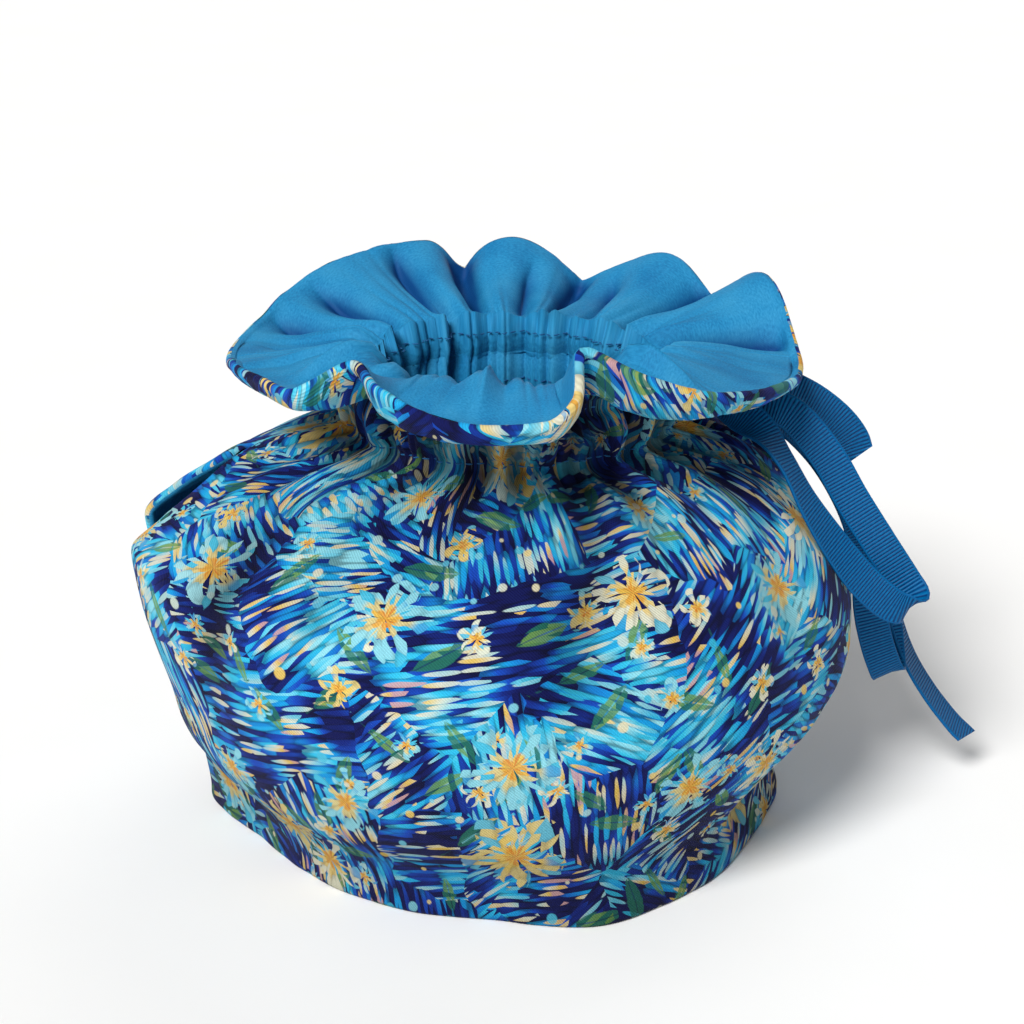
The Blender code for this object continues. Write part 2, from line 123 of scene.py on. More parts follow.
FRILL_EDGE = (
    (4.0, 82.0, 138.0, 0.35),
    (24.0, 82.5, 150.5, 1.00),
    (39.0, 79.5, 141.5, 0.90),
    (54.0, 82.5, 147.5, 1.00),
    (73.0, 79.5, 139.5, 0.90),
    (90.0, 81.5, 149.8, 1.00),
    (101.0, 80.5, 145.8, 1.00),
    (109.0, 83.5, 150.2, 1.00),
    (131.0, 82.5, 147.0, 1.00),
    (145.0, 83.0, 141.5, 0.90),
    (156.0, 82.5, 137.0, 0.65),
    (174.0, 82.0, 134.6, 0.25),
    (192.0, 80.0, 138.5, 0.10),
    (210.0, 78.0, 141.0, 0.05),
    (223.0, 80.0, 143.0, 0.10),
    (233.0, 69.0, 150.5, 0.80),
    (243.0, 77.0, 148.5, 0.15),
    (254.0, 80.0, 143.5, 0.00),
    (266.0, 82.0, 140.8, 0.00),
    (277.0, 81.0, 142.0, 0.05),
    (283.5, 75.0, 146.5, 0.40),
    (289.5, 58.0, 153.6, 1.00),
    (298.0, 74.0, 150.0, 0.20),
    (310.0, 80.0, 144.5, 0.00),
    (330.0, 81.0, 139.0, 0.00),
    (350.0, 82.4, 135.0, 0.15),
)

# Gathers of the neck: angle at the seams, angle and height where it dies out, half width, depth

GATHERS = (
    (17.0, 19.0, 80.0, 5.6, 4.0),
    (32.0, 34.0, 92.0, 5.2, 4.4),
    (47.0, 46.0, 76.0, 6.0, 4.8),
    (62.0, 62.0, 95.0, 5.0, 4.0),
    (76.0, 73.0, 84.0, 5.8, 4.8),
    (92.0, 94.0, 90.0, 5.4, 4.2),
    (106.0, 104.0, 74.0, 6.2, 5.0),
    (121.0, 123.0, 94.0, 5.0, 4.0),
    (135.0, 133.0, 82.0, 5.8, 4.6),
    (150.0, 153.0, 90.0, 5.4, 4.4),
    (165.0, 162.0, 80.0, 5.2, 4.0),
    (195.0, 199.0, 92.0, 5.0, 3.8),
    (208.0, 213.0, 88.0, 5.4, 4.6),
    (222.0, 226.0, 92.0, 5.4, 4.6),
    (236.0, 238.0, 84.0, 5.2, 4.4),
    (248.0, 247.0, 90.0, 5.2, 4.8),
    (260.0, 257.0, 82.0, 5.6, 4.6),
    (273.0, 268.0, 90.0, 5.2, 4.2),
    (289.0, 281.0, 70.0, 5.8, 5.6),
    (303.0, 297.0, 86.0, 5.4, 4.6),
    (316.0, 311.0, 92.0, 5.2, 4.4),
    (330.0, 328.0, 82.0, 5.6, 4.6),
    (344.0, 343.0, 88.0, 5.0, 3.8),
)

# Long creases: angle and height at top, middle and bottom, half width in degrees, depth

CREASES = (
    (214.0, 114.0, 222.0, 92.0, 209.0, 24.0, 6.5, 4.6),
    (287.0, 114.0, 279.0, 84.0, 281.0, 44.0, 5.0, 3.4),
    (246.0, 108.0, 240.0, 88.0, 236.0, 66.0, 5.0, 2.2),
    (325.0, 108.0, 322.0, 84.0, 327.0, 50.0, 5.5, 2.4),
    (340.0, 36.0, 333.0, 18.0, 325.0, 5.0, 6.0, 2.6),
    (198.0, 34.0, 203.0, 18.0, 212.0, 5.0, 6.0, 2.4),
    (150.0, 104.0, 146.0, 80.0, 149.0, 40.0, 6.0, 3.0),
    (104.0, 106.0, 98.0, 80.0, 101.0, 46.0, 5.5, 3.0),
    (46.0, 106.0, 50.0, 78.0, 45.0, 38.0, 6.0, 3.2),
    (24.0, 34.0, 31.0, 18.0, 42.0, 5.0, 6.5, 2.4),
)

# Creases of the frill: angle at the seam and at the edge, reach, half width, depth

FRILL_CREASES = (
    (14.0, 6.0, 0.95, 4.5, -3.0),
    (43.0, 41.0, 1.10, 4.5, -3.4),
    (60.0, 66.0, 0.80, 4.0, -2.4),
    (76.0, 74.0, 1.10, 4.0, -3.0),
    (88.0, 84.0, 0.75, 3.6, -2.2),
    (103.0, 100.5, 1.15, 3.6, -3.8),
    (119.0, 117.0, 0.95, 4.2, -2.8),
    (138.0, 141.0, 0.85, 4.4, -2.6),
    (156.0, 153.0, 0.90, 4.6, -2.8),
    (176.0, 168.0, 0.70, 4.6, -2.0),
    (205.0, 203.0, 0.60, 4.6, 1.8),
    (262.0, 262.0, 0.55, 4.6, 1.6),
    (318.0, 320.0, 0.60, 5.0, 1.8),
)

# Side slits: height, half width

LEFT_SLIT = (
    (38.0, 0.0),
    (46.0, 4.6),
    (60.0, 10.0),
    (76.0, 13.4),
    (88.0, 13.6),
    (100.0, 9.6),
    (108.0, 4.6),
    (111.5, 0.0),
)

RIGHT_SLIT = (
    (28.0, 0.0),
    (36.0, 3.2),
    (50.0, 7.4),
    (66.0, 9.6),
    (82.0, 9.8),
    (96.0, 6.8),
    (105.0, 3.0),
    (109.0, 0.0),
)

# Ribbon strands: position, then the way that the ribbon's width points

NEAR_LOOP = (
    (54.0, -1.0, 125.0, 0.1, 0.5, 0.8),
    (60.0, -3.0, 124.6, 0.1, 0.5, 0.8),
    (70.0, -6.0, 124.8, 0.3, 0.6, 0.6),
    (79.0, -8.0, 122.0, 0.7, 0.3, 0.6),
    (88.9, -10.0, 110.8, 0.8, 0.2, 0.57),
    (96.6, -12.0, 98.0, 0.8, 0.15, 0.57),
    (105.0, -14.0, 85.1, 0.8, 0.15, 0.57),
    (112.0, -15.0, 74.5, 0.78, 0.1, 0.6),
    (114.6, -17.6, 70.4, 0.72, 0.1, 0.68),
    (112.6, -20.6, 68.4, 0.72, 0.1, 0.68),
    (107.5, -22.4, 70.2, 0.74, 0.15, 0.62),
    (98.8, -24.6, 78.5, 0.76, 0.4, 0.5),
    (90.1, -26.0, 90.0, 0.6, 0.65, 0.42),
    (82.4, -26.0, 101.8, 0.42, 0.85, 0.3),
    (76.0, -23.0, 113.2, 0.3, 0.95, 0.2),
    (69.0, -16.0, 120.8, 0.1, 0.8, 0.5),
    (60.0, -5.5, 123.8, 0.1, 0.5, 0.8),
    (54.0, -1.5, 124.6, 0.1, 0.5, 0.8),
)

FAR_LOOP = (
    (54.0, 0.0, 125.0, 0.0, 0.6, 0.8),
    (62.0, 1.2, 123.4, 0.1, 0.7, 0.7),
    (74.0, 3.6, 119.0, 0.3, 0.85, 0.4),
    (88.0, 5.0, 107.0, 0.6, 0.7, 0.4),
    (98.6, 5.0, 91.0, 0.8, 0.4, 0.35),
    (104.0, 4.0, 75.0, 0.9, 0.2, 0.3),
    (105.6, 3.2, 59.0, 0.94, 0.1, 0.25),
    (108.2, 3.6, 47.8, 0.94, 0.1, 0.3),
    (111.6, 5.4, 38.4, 0.92, 0.1, 0.35),
    (113.2, 8.0, 36.2, 0.92, 0.1, 0.35),
    (113.4, 10.8, 39.6, 0.92, 0.1, 0.3),
    (112.0, 12.4, 52.0, 0.9, 0.3, 0.25),
    (109.0, 12.6, 68.0, 0.85, 0.45, 0.25),
    (103.0, 11.8, 86.0, 0.7, 0.65, 0.25),
    (92.0, 10.2, 102.6, 0.5, 0.8, 0.3),
    (77.0, 7.0, 116.4, 0.2, 0.9, 0.4),
    (63.0, 2.4, 122.0, 0.1, 0.7, 0.7),
    (54.0, 0.5, 124.6, 0.0, 0.6, 0.8),
)

LONG_TAIL = (
    (54.0, 0.5, 124.8, 0.0, 0.6, 0.8),
    (64.0, 5.6, 122.8, 0.1, 0.8, 0.5),
    (79.0, 13.4, 115.6, 0.2, 0.9, 0.3),
    (94.0, 18.2, 101.0, 0.3, 0.9, 0.25),
    (105.0, 19.6, 83.4, 0.35, 0.9, 0.2),
    (111.4, 18.4, 65.4, 0.4, 0.9, 0.2),
    (115.4, 16.4, 50.2, 0.36, 0.9, 0.2),
    (120.2, 14.4, 37.8, 0.32, 0.9, 0.2),
    (126.4, 12.6, 27.6, 0.3, 0.9, 0.2),
    (133.6, 11.2, 18.4, 0.3, 0.9, 0.2),
    (138.4, 10.6, 13.6, 0.3, 0.9, 0.2),
)

SHORT_TAIL = (
    (54.0, 0.0, 125.4, 0.0, 0.6, 0.8),
    (64.0, 3.4, 127.2, 0.1, 0.8, 0.4),
    (75.0, 6.4, 127.4, 0.3, 0.7, 0.5),
    (84.8, 8.0, 122.6, 0.6, 0.4, 0.65),
    (93.4, 9.4, 115.8, 0.76, 0.2, 0.6),
    (98.6, 10.2, 109.4, 0.9, 0.1, 0.4),
    (100.8, 10.4, 103.6, 0.97, 0.1, 0.2),
)

# Curves and numbers


def smooth(knots: Sequence[float], values: Sequence[float], at: Numbers) -> Numbers:
    """Monotone cubic through knots.

    Args:
        knots: Rising places.
        values: One value for each knot.
        at: Places to read, held inside the knots.

    Returns:
        The curve's value at each place.
    """
    x, y = np.asarray(knots, float), np.asarray(values, float)
    at = np.clip(at, x[0], x[-1])
    spans = np.diff(x)
    rates = np.diff(y) / spans
    slopes = np.zeros(len(x))
    same_way = rates[:-1] * rates[1:] > 0
    before, after = rates[:-1][same_way], rates[1:][same_way]
    slopes[1:-1][same_way] = 2 * before * after / (before + after)
    slopes[0], slopes[-1] = rates[0], rates[-1]
    k = np.clip(np.searchsorted(x, at, side="right") - 1, 0, len(spans) - 1)
    h = spans[k]
    t = (at - x[k]) / h
    start = (1 + 2 * t) * (1 - t) ** 2 * y[k] + t * (1 - t) ** 2 * h * slopes[k]
    end = t * t * (3 - 2 * t) * y[k + 1] + t * t * (t - 1) * h * slopes[k + 1]
    return start + end


def around(table: Table, column: int, angles: Numbers) -> Numbers:
    """Smooth periodic value of a column of a table whose first column is an angle.

    Args:
        table: Rows of an angle and its values.
        column: Which value to read.
        angles: Angles in degrees.

    Returns:
        The value at each angle.
    """
    knots = np.array([row[0] for row in table])
    values = np.array([row[column] for row in table])
    knots = np.concatenate([knots - FULL_TURN, knots, knots + FULL_TURN])
    return smooth(knots, np.tile(values, 3), np.mod(angles, FULL_TURN))


def turn_between(angles: Numbers, centre: Numbers | float) -> Numbers:
    """Signed difference of angles in degrees, within half a turn."""
    return np.mod(angles - centre + HALF_TURN, FULL_TURN) - HALF_TURN


def swaying_wave(turn: Numbers, count: float, sways: Table, start: float = 0.0) -> Numbers:
    """Sine wave round the neck whose folds are unevenly wide.

    Args:
        turn: Angles in radians.
        count: Folds in a full turn.
        sways: Depth, count and phase of each wave that moves the folds aside.
        start: The wave's own phase.

    Returns:
        The wave, from -1 to 1.
    """
    phase = count * turn
    for depth, times, lag in sways:
        phase = phase + depth * np.sin(times * turn + lag)
    return np.sin(phase + start)


def slit_width(slit: Table, heights: Numbers) -> Numbers:
    """Half width of a side slit at heights."""
    return smooth([row[0] for row in slit], [row[1] for row in slit], heights)


def bump(offset: Numbers, half_width: float) -> Numbers:
    """Bell-shaped weight, 1 at no offset."""
    return np.exp(-((offset / half_width) ** 2))


def ease(share: Numbers) -> Numbers:
    """Smooth step of a share, held from 0 to 1."""
    share = np.clip(share, 0.0, 1.0)
    return share * share * (3 - 2 * share)


def through(points: Numbers, at: Numbers) -> Numbers:
    """Catmull-Rom curve through points.

    Args:
        points: Rows of any number of columns.
        at: Places counted in points, from 0 to the last one.

    Returns:
        One row for each place.
    """
    padded = np.concatenate([[2 * points[0] - points[1]], points, [2 * points[-1] - points[-2]]])
    k = np.clip(np.floor(at).astype(int), 0, len(points) - 2)
    t = (at - k)[:, None]
    a, b, c, d = (padded[k + step] for step in range(4))
    return 0.5 * (2 * b + (c - a) * t + (2 * a - 5 * b + 4 * c - d) * t**2 + (3 * b - a - 3 * c + d) * t**3)


def unit(vectors: Numbers) -> Numbers:
    """Vectors scaled to length 1."""
    return vectors / np.maximum(np.linalg.norm(vectors, axis=-1, keepdims=True), 1e-12)


def run_length(points: Numbers, axis: int = 0) -> Numbers:
    """Length run from the first point to each point along an axis.

    Args:
        points: Places in an array of any shape, its last axis x, y and z.
        axis: The axis that is run along.

    Returns:
        Lengths, in an array without the last axis.
    """
    steps = np.linalg.norm(np.diff(points, axis=axis), axis=-1)
    first = np.zeros_like(np.take(steps, [0], axis=axis))
    return np.concatenate([first, np.cumsum(steps, axis=axis)], axis=axis)


def lattice_noise(x: Numbers, y: Numbers, count: int, seed: int) -> Numbers:
    """Smooth noise from -1 to 1 on a lattice of unit pitch that repeats.

    Args:
        x: Places across.
        y: Places along.
        count: Lattice points before it repeats.
        seed: Which noise.

    Returns:
        The noise at each place.
    """
    lattice = np.random.default_rng(seed).uniform(-1.0, 1.0, (count, count))
    i, j = np.floor(x).astype(int), np.floor(y).astype(int)
    s, t = ease(x - i), ease(y - j)
    low = lattice[i % count, j % count] * (1 - s) + lattice[(i + 1) % count, j % count] * s
    high = lattice[i % count, (j + 1) % count] * (1 - s) + lattice[(i + 1) % count, (j + 1) % count] * s
    return low * (1 - t) + high * t


def placed(points: Numbers) -> Numbers:
    """Millimetres from the neck's axis to metres in the frame."""
    return (np.asarray(points, float) + NECK_AT) * MM


# Meshes


def grid_faces(rows: int, columns: int, flipped: bool = False, closed: bool = False) -> Numbers:
    """Corner numbers of a grid's quads.

    Args:
        rows: Rows of points.
        columns: Points in a row.
        flipped: Whether the faces look the other way.
        closed: Whether the last column joins the first.

    Returns:
        An array with four corners a face.
    """
    column = np.arange(columns if closed else columns - 1)
    beside = (column + 1) % columns
    base = np.arange(rows - 1)[:, None] * columns
    low, low_next = (base + column).ravel(), (base + beside).ravel()
    faces = np.stack([low, low_next, low_next + columns, low + columns], -1)
    return faces[:, ::-1] if flipped else faces


def mesh_object(
    name: str, points: Numbers, faces: Numbers, cut: Numbers, valleys: Numbers | None = None
) -> bpy.types.Object:
    """Smooth-shaded object linked to the scene.

    Args:
        name: The piece's name.
        points: Rows of x, y and z in metres.
        faces: Four corner numbers a face.
        cut: Each point's place in the flat cut, in metres, for the finishes to read.
        valleys: How much painted shade each point takes, deep in creases and, on the print, under the
            frill, from 0 to 1, for the finishes to read.

    Returns:
        The new object.
    """
    mesh = bpy.data.meshes.new(name)
    mesh.vertices.add(len(points))
    mesh.vertices.foreach_set("co", np.asarray(points, np.float32).ravel())
    mesh.loops.add(faces.size)
    mesh.loops.foreach_set("vertex_index", np.asarray(faces, np.int32).ravel())
    mesh.polygons.add(len(faces))
    mesh.polygons.foreach_set("loop_start", np.arange(len(faces), dtype=np.int32) * faces.shape[1])
    mesh.update(calc_edges=True)
    mesh.polygons.foreach_set("use_smooth", np.ones(len(faces), bool))
    layer = mesh.uv_layers.new(name=CLOTH_MAP)
    layer.data.foreach_set("uv", np.asarray(cut, np.float32)[faces.ravel()].ravel())
    if valleys is not None:
        depths = mesh.attributes.new(VALLEYS, "FLOAT", "POINT")
        depths.data.foreach_set("value", np.asarray(valleys, np.float32))
    piece = bpy.data.objects.new(name, mesh)
    bpy.context.scene.collection.objects.link(piece)
    return piece


# Shader nodes


class Term:
    """One output socket, whose arithmetic adds Math nodes."""

    def __init__(self, tree: bpy.types.NodeTree, socket: bpy.types.NodeSocket) -> None:
        """Wraps a socket of a node tree."""
        self.tree = tree
        self.socket = socket

    def math(self, operation: str, *values: "Term | float", first: bool = True) -> "Term":
        """Adds a Math node.

        Args:
            operation: The node's operation.
            values: Its other inputs.
            first: Whether this socket is the node's first input, else its second.

        Returns:
            The node's result.
        """
        node = self.tree.nodes.new("ShaderNodeMath")
        node.operation = operation
        inputs = [self, *values] if first else [*values, self]
        for place, value in enumerate(inputs):
            if isinstance(value, Term):
                self.tree.links.new(value.socket, node.inputs[place])
            else:
                node.inputs[place].default_value = value
        return Term(self.tree, node.outputs[0])

    def __add__(self, other: "Term | float") -> "Term":
        """Sum."""
        return self.math("ADD", other)

    __radd__ = __add__

    def __sub__(self, other: "Term | float") -> "Term":
        """Difference."""
        return self.math("SUBTRACT", other)

    def __rsub__(self, other: float) -> "Term":
        """Difference from a number."""
        return self.math("SUBTRACT", other, first=False)

    def __mul__(self, other: "Term | float") -> "Term":
        """Product."""
        return self.math("MULTIPLY", other)

    __rmul__ = __mul__

    def __truediv__(self, other: "Term | float") -> "Term":
        """Quotient."""
        return self.math("DIVIDE", other)

    def __rtruediv__(self, other: float) -> "Term":
        """Quotient of a number."""
        return self.math("DIVIDE", other, first=False)

    def __pow__(self, other: "Term | float") -> "Term":
        """Power."""
        return self.math("POWER", other)

    def __rpow__(self, other: float) -> "Term":
        """Power of a number."""
        return self.math("POWER", other, first=False)

    def __abs__(self) -> "Term":
        """Size without sign."""
        return self.math("ABSOLUTE")

    def __gt__(self, other: "Term | float") -> "Term":
        """1 where this is greater, else 0."""
        return self.math("GREATER_THAN", other)

    def __lt__(self, other: "Term | float") -> "Term":
        """1 where this is less, else 0."""
        return self.math("LESS_THAN", other)

    def sine(self) -> "Term":
        """Sine of radians."""
        return self.math("SINE")

    def cosine(self) -> "Term":
        """Cosine of radians."""
        return self.math("COSINE")


class Recipe:
    """One material's node tree, built by adding nodes."""

    def __init__(self, name: str, tree: bpy.types.NodeTree | None = None) -> None:
        """Starts an empty material, or empties a tree that is there already.

        Args:
            name: The material's name.
            tree: The node tree, where it isn't a new material's.
        """
        if tree is None:
            self.material = bpy.data.materials.new(name)
            self.material.use_nodes = True
            tree = self.material.node_tree
        self.tree = tree
        self.tree.nodes.clear()

    def node(self, kind: str, settings: dict[str, Any], inputs: Inputs) -> list[Term]:
        """Adds any node but a Math node.

        Args:
            kind: The node's type, without the ShaderNode in front.
            settings: Its settings, set before the inputs.
            inputs: Values or links of its sockets, by name or number.

        Returns:
            All of its outputs.
        """
        made = self.tree.nodes.new(f"ShaderNode{kind}")
        for key, value in settings.items():
            setattr(made, key, value)
        for key, value in inputs.items():
            if isinstance(value, Term):
                self.tree.links.new(value.socket, made.inputs[key])
            else:
                made.inputs[key].default_value = value
        return [Term(self.tree, socket) for socket in made.outputs]

    def cut_place(self) -> Term:
        """Place in the flat cut, as a vector in millimetres."""
        place = self.node("UVMap", {"uv_map": CLOTH_MAP}, {})[0]
        return self.scaled(place, (1 / MM, 1 / MM, 1.0))

    def valleys(self) -> Term:
        """Share of painted shade, deep in creases and, on the print, under the frill, from 0 to 1."""
        return self.node("Attribute", {"attribute_name": VALLEYS}, {})[2]

    def scaled(self, place: Term, by: Sequence[float]) -> Term:
        """A place scaled by a fixed vector."""
        return self.node("VectorMath", {"operation": "MULTIPLY"}, {0: place, 1: tuple(by)})[0]

    def shifted(self, place: Term, by: Term | Sequence[float]) -> Term:
        """A place moved by a vector."""
        return self.node("VectorMath", {"operation": "ADD"}, {0: place, 1: by})[0]

    def turned(self, place: Term, degrees: float) -> Term:
        """A place turned about Z by a fixed angle."""
        angle = math.radians(degrees)
        return self.node("VectorRotate", {"rotation_type": "Z_AXIS"}, {"Vector": place, "Angle": angle})[0]

    def parts(self, place: Term) -> list[Term]:
        """The x, y and z of a vector."""
        return self.node("SeparateXYZ", {}, {"Vector": place})

    def noise(self, place: Term, size: float, detail: float = 2.0) -> Term:
        """Noise from 0 to 1 whose features are about size millimetres."""
        return self.node("TexNoise", {}, {"Vector": place, "Scale": 1 / size, "Detail": detail})[0]

    def cells(self, place: Term, randomness: float = 1.0) -> tuple[Term, Term, Term]:
        """Voronoi cells of size 1.

        Args:
            place: Place in cells.
            randomness: How uneven the cells are, from 0 to 1.

        Returns:
            Distance to the cell's centre, its random colour and its centre.
        """
        settings = {"voronoi_dimensions": "2D", "feature": "F1"}
        inputs = {"Vector": place, "Scale": 1.0, "Randomness": randomness}
        outputs = self.node("TexVoronoi", settings, inputs)
        return outputs[0], outputs[1], outputs[2]

    def step(self, value: Term, low: float, high: float) -> Term:
        """Smooth step of a value, from 0 at low to 1 at high."""
        inputs = {"Value": value, "From Min": low, "From Max": high}
        return self.node("MapRange", {"interpolation_type": "SMOOTHSTEP"}, inputs)[0]

    def ramp(self, value: Term, stops: Stops) -> Term:
        """Colour of a value through a ramp of stops.

        Args:
            value: Read from 0 to 1.
            stops: Places on the ramp with their colours.

        Returns:
            The colour.
        """
        outputs = self.node("ValToRGB", {}, {"Fac": value})
        ramp = outputs[0].socket.node.color_ramp
        while len(ramp.elements) < len(stops):
            ramp.elements.new(1.0)
        for element, (place, colour) in zip(ramp.elements, stops, strict=True):
            element.position = place
            element.color = (*colour, 1.0)
        return outputs[0]

    def mix(self, factor: Term | float, under: Term | Colour, over: Term | Colour) -> Term:
        """Colour mix.

        Args:
            factor: 0 for under, 1 for over.
            under: Colour, linked or fixed.
            over: Colour, linked or fixed.

        Returns:
            The mixed colour.
        """
        pair = [colour if isinstance(colour, Term) else (*colour, 1.0) for colour in (under, over)]
        return self.node("Mix", {"data_type": "RGBA"}, {0: factor, 6: pair[0], 7: pair[1]})[2]

    def shade(self, colour: Term, amount: Term) -> Term:
        """A colour multiplied by a number."""
        return self.node("VectorMath", {"operation": "SCALE"}, {0: colour, "Scale": amount})[0]

    def relief(self, height: Term, millimetres: float) -> Term:
        """Normal of a height of 0 to 1 that stands for some millimetres."""
        return self.node("Bump", {}, {"Height": height, "Strength": 1.0, "Distance": millimetres * MM})[0]

    def surface(self, inputs: Inputs) -> bpy.types.Material:
        """Ends the recipe in a Principled shader with these inputs.

        Args:
            inputs: Values or links of the shader's sockets.

        Returns:
            The finished material.
        """
        shader = self.node("BsdfPrincipled", {}, inputs)[0]
        self.node("OutputMaterial", {}, {"Surface": shader})
        return self.material


# Finishes


@dataclass(frozen=True)
class Cloth:
    """What every cloth finish shares."""

    roughness: float = 0.82
    sheen: float = 0.02
    sheen_roughness: float = 0.4
    specular: float = 0.14

    def inputs(self, colour: Term, normal: Term, roughness: Term | float | None = None) -> Inputs:
        """Shader inputs of this cloth.

        Args:
            colour: Its base colour.
            normal: Its relief.
            roughness: Its own roughness where it varies.

        Returns:
            Inputs by name.
        """
        return {
            "Base Color": colour,
            "Normal": normal,
            "Roughness": self.roughness if roughness is None else roughness,
            "Sheen Weight": self.sheen,
            "Sheen Roughness": self.sheen_roughness,
            "Specular IOR Level": self.specular,
        }


@dataclass(frozen=True)
class FlowerSize:
    """How one layer of flowers is scattered, in millimetres."""

    pitch: float
    radius: float
    empty_share: float
    shift: float
    rays: float
    ray_length: float


@dataclass(frozen=True)
class LeafSize:
    """How the leaves are scattered, in millimetres, each with a share that varies at random."""

    pitch: float = 18.0
    half_length: tuple[float, float] = (6.4, 2.6)
    half_width: tuple[float, float] = (1.9, 0.9)
    vein_width: float = 0.35
    empty_share: float = 0.42


@dataclass(frozen=True)
class BudSize:
    """How the small dots are scattered, in millimetres, with radii as shares of the pitch."""

    pitch: float = 11.0
    radius: tuple[float, float] = (0.07, 0.09)
    empty_share: float = 0.62


@dataclass(frozen=True)
class Ground:
    """How light the dabbed ground is, and by how much each cause changes it; the darkening towards the
    bottom and in creases is painted shade.
    """

    mean: float = 0.44
    drift: float = 1.9
    dab: float = 0.78
    # Painted shade towards the bottom: how far it lowers the ground's light.
    hem: float = 0.18
    stops: tuple[float, ...] = (0.10, 0.28, 0.42, 0.60, 0.80, 0.97)
    dab_rim: tuple[float, float] = (0.36, 0.72)
    rim_shade: float = 0.62
    # Painted shade: how much the colour darkens towards the bottom, and in creases.
    bottom_shade_depth: float = 0.36
    valley_shade: float = 0.75


@dataclass(frozen=True)
class FloralPrint(Cloth):
    """Twill printed all over with loosely painted flowers and leaves on dabbed blues."""

    navy: Colour = (0.002, 0.004, 0.055)
    ink: Colour = (0.003, 0.012, 0.13)
    royal: Colour = (0.004, 0.045, 0.33)
    cerulean: Colour = (0.004, 0.22, 0.50)
    sky: Colour = (0.022, 0.36, 0.54)
    pale: Colour = (0.19, 0.48, 0.56)
    cream: Colour = (0.56, 0.55, 0.42)
    butter: Colour = (0.62, 0.42, 0.07)
    orange: Colour = (0.52, 0.16, 0.015)
    leaf: Colour = (0.012, 0.12, 0.085)
    moss: Colour = (0.11, 0.24, 0.05)
    blush: Colour = (0.46, 0.27, 0.27)
    dab_length: float = 9.2
    dab_width: float = 1.5
    dab_turns: tuple[float, ...] = (24.0, -38.0, 78.0, -8.0)
    patch_size: float = 30.0
    warp_size: float = 11.0
    warp_reach: float = 10.0
    highlight_shift: float = 53.0
    highlight_group: float = 16.0
    drift_size: float = 30.0
    twill_pitch: float = 0.95
    relief_depth: float = 0.16
    # Height up the cut where the painted shade towards the bottom ends.
    painted_shade_top: float = 75.0
    ground: Ground = Ground()
    leaves: LeafSize = LeafSize()
    buds: BudSize = BudSize()
    flowers: tuple[FlowerSize, ...] = (
        FlowerSize(22.0, 5.5, 0.38, 31.0, 13.0, 3.2),
        FlowerSize(46.0, 14.5, 0.22, 0.0, 25.0, 5.5),
    )

    def dabs(
        self, recipe: Recipe, place: Term, turn: float, length: float, width: float
    ) -> tuple[Term, Term, Term]:
        """Straight brush dabs that all run one way.

        Args:
            recipe: The material being made.
            place: Place in the flat cut.
            turn: Their direction in degrees.
            length: Their length in millimetres.
            width: Their width in millimetres.

        Returns:
            How far from a dab's middle a place is, and two random numbers of the dab.
        """
        stretched = recipe.scaled(recipe.turned(place, turn), (1 / length, 1 / width, 1.0))
        distance, random_colour, _ = recipe.cells(stretched)
        first, second, _ = recipe.parts(random_colour)
        return distance, first, second

    def patched(self, recipe: Recipe, place: Term, moved: float, length: float, width: float) -> list[Term]:
        """Brush dabs whose direction changes from patch to patch.

        Args:
            recipe: The material being made.
            place: Place in the flat cut.
            moved: Millimetres that moves the dabs, but not the patches.
            length: A dab's length in millimetres.
            width: A dab's width in millimetres.

        Returns:
            The same three values as for dabs that run one way.
        """
        warp = recipe.noise(place, self.warp_size) * self.warp_reach
        patch_place = recipe.shifted(place, recipe.node("CombineXYZ", {}, {0: warp, 1: warp})[0])
        _, patch, _ = recipe.cells(recipe.scaled(patch_place, (1 / self.patch_size,) * 3))
        choice = recipe.parts(patch)[0]
        dab_place = recipe.shifted(place, (moved, 0.4 * moved, 0.0))
        kept = list(self.dabs(recipe, dab_place, self.dab_turns[0], length, width))
        for number, turn in enumerate(self.dab_turns[1:], start=1):
            chosen = choice > number / len(self.dab_turns)
            other = self.dabs(recipe, dab_place, turn, length, width)
            kept = [one + chosen * (two - one) for one, two in zip(kept, other, strict=True)]
        return kept

    def make(self) -> bpy.types.Material:
        """Makes the material.

        Returns:
            The finished material.
        """
        recipe = Recipe("printed_cotton")
        place = recipe.cut_place()
        rim, tone, other = self.patched(recipe, place, 0.0, self.dab_length, self.dab_width)
        across, up, _ = recipe.parts(place)
        drift = recipe.noise(place, self.drift_size, 1.0)
        # Painted shade towards the bottom: full at the hem, none from the given height up.
        painted_bottom_shade = 1.0 - recipe.step(up, 0.0, self.painted_shade_top)
        ground = self.ground
        light = (drift - 0.5) * ground.drift + ground.mean
        light = light + (tone - 0.5) * ground.dab - ground.hem * painted_bottom_shade
        blues = (self.navy, self.ink, self.royal, self.cerulean, self.sky, self.pale)
        colour = recipe.ramp(light, tuple(zip(ground.stops, blues, strict=True)))
        colour = recipe.shade(colour, 1.12 - ground.rim_shade * recipe.step(rim, *ground.dab_rim))
        colour = self._highlights(recipe, place, drift, colour)
        colour = self._leaves(recipe, place, tone, colour)
        for size in self.flowers:
            colour = self._flowers(recipe, place, size, other, colour)
        colour = self._buds(recipe, place, colour)
        twill = ((across + up) * (2 * math.pi / self.twill_pitch)).sine()
        yarn = recipe.noise(recipe.scaled(place, (1.0, 0.35, 1.0)), 0.5, 2.0)
        # Painted shade in creases and gathers, and under the frill at the channel.
        colour = recipe.shade(colour, 1.0 - ground.valley_shade * recipe.valleys())
        # Twill and yarn grain, and painted shade towards the bottom.
        colour = recipe.shade(colour, 0.93 + 0.10 * twill + 0.22 * yarn - ground.bottom_shade_depth * painted_bottom_shade)
        height = 0.5 + 0.3 * twill + 0.5 * (yarn - 0.5)
        return recipe.surface(self.inputs(colour, recipe.relief(height, self.relief_depth)))

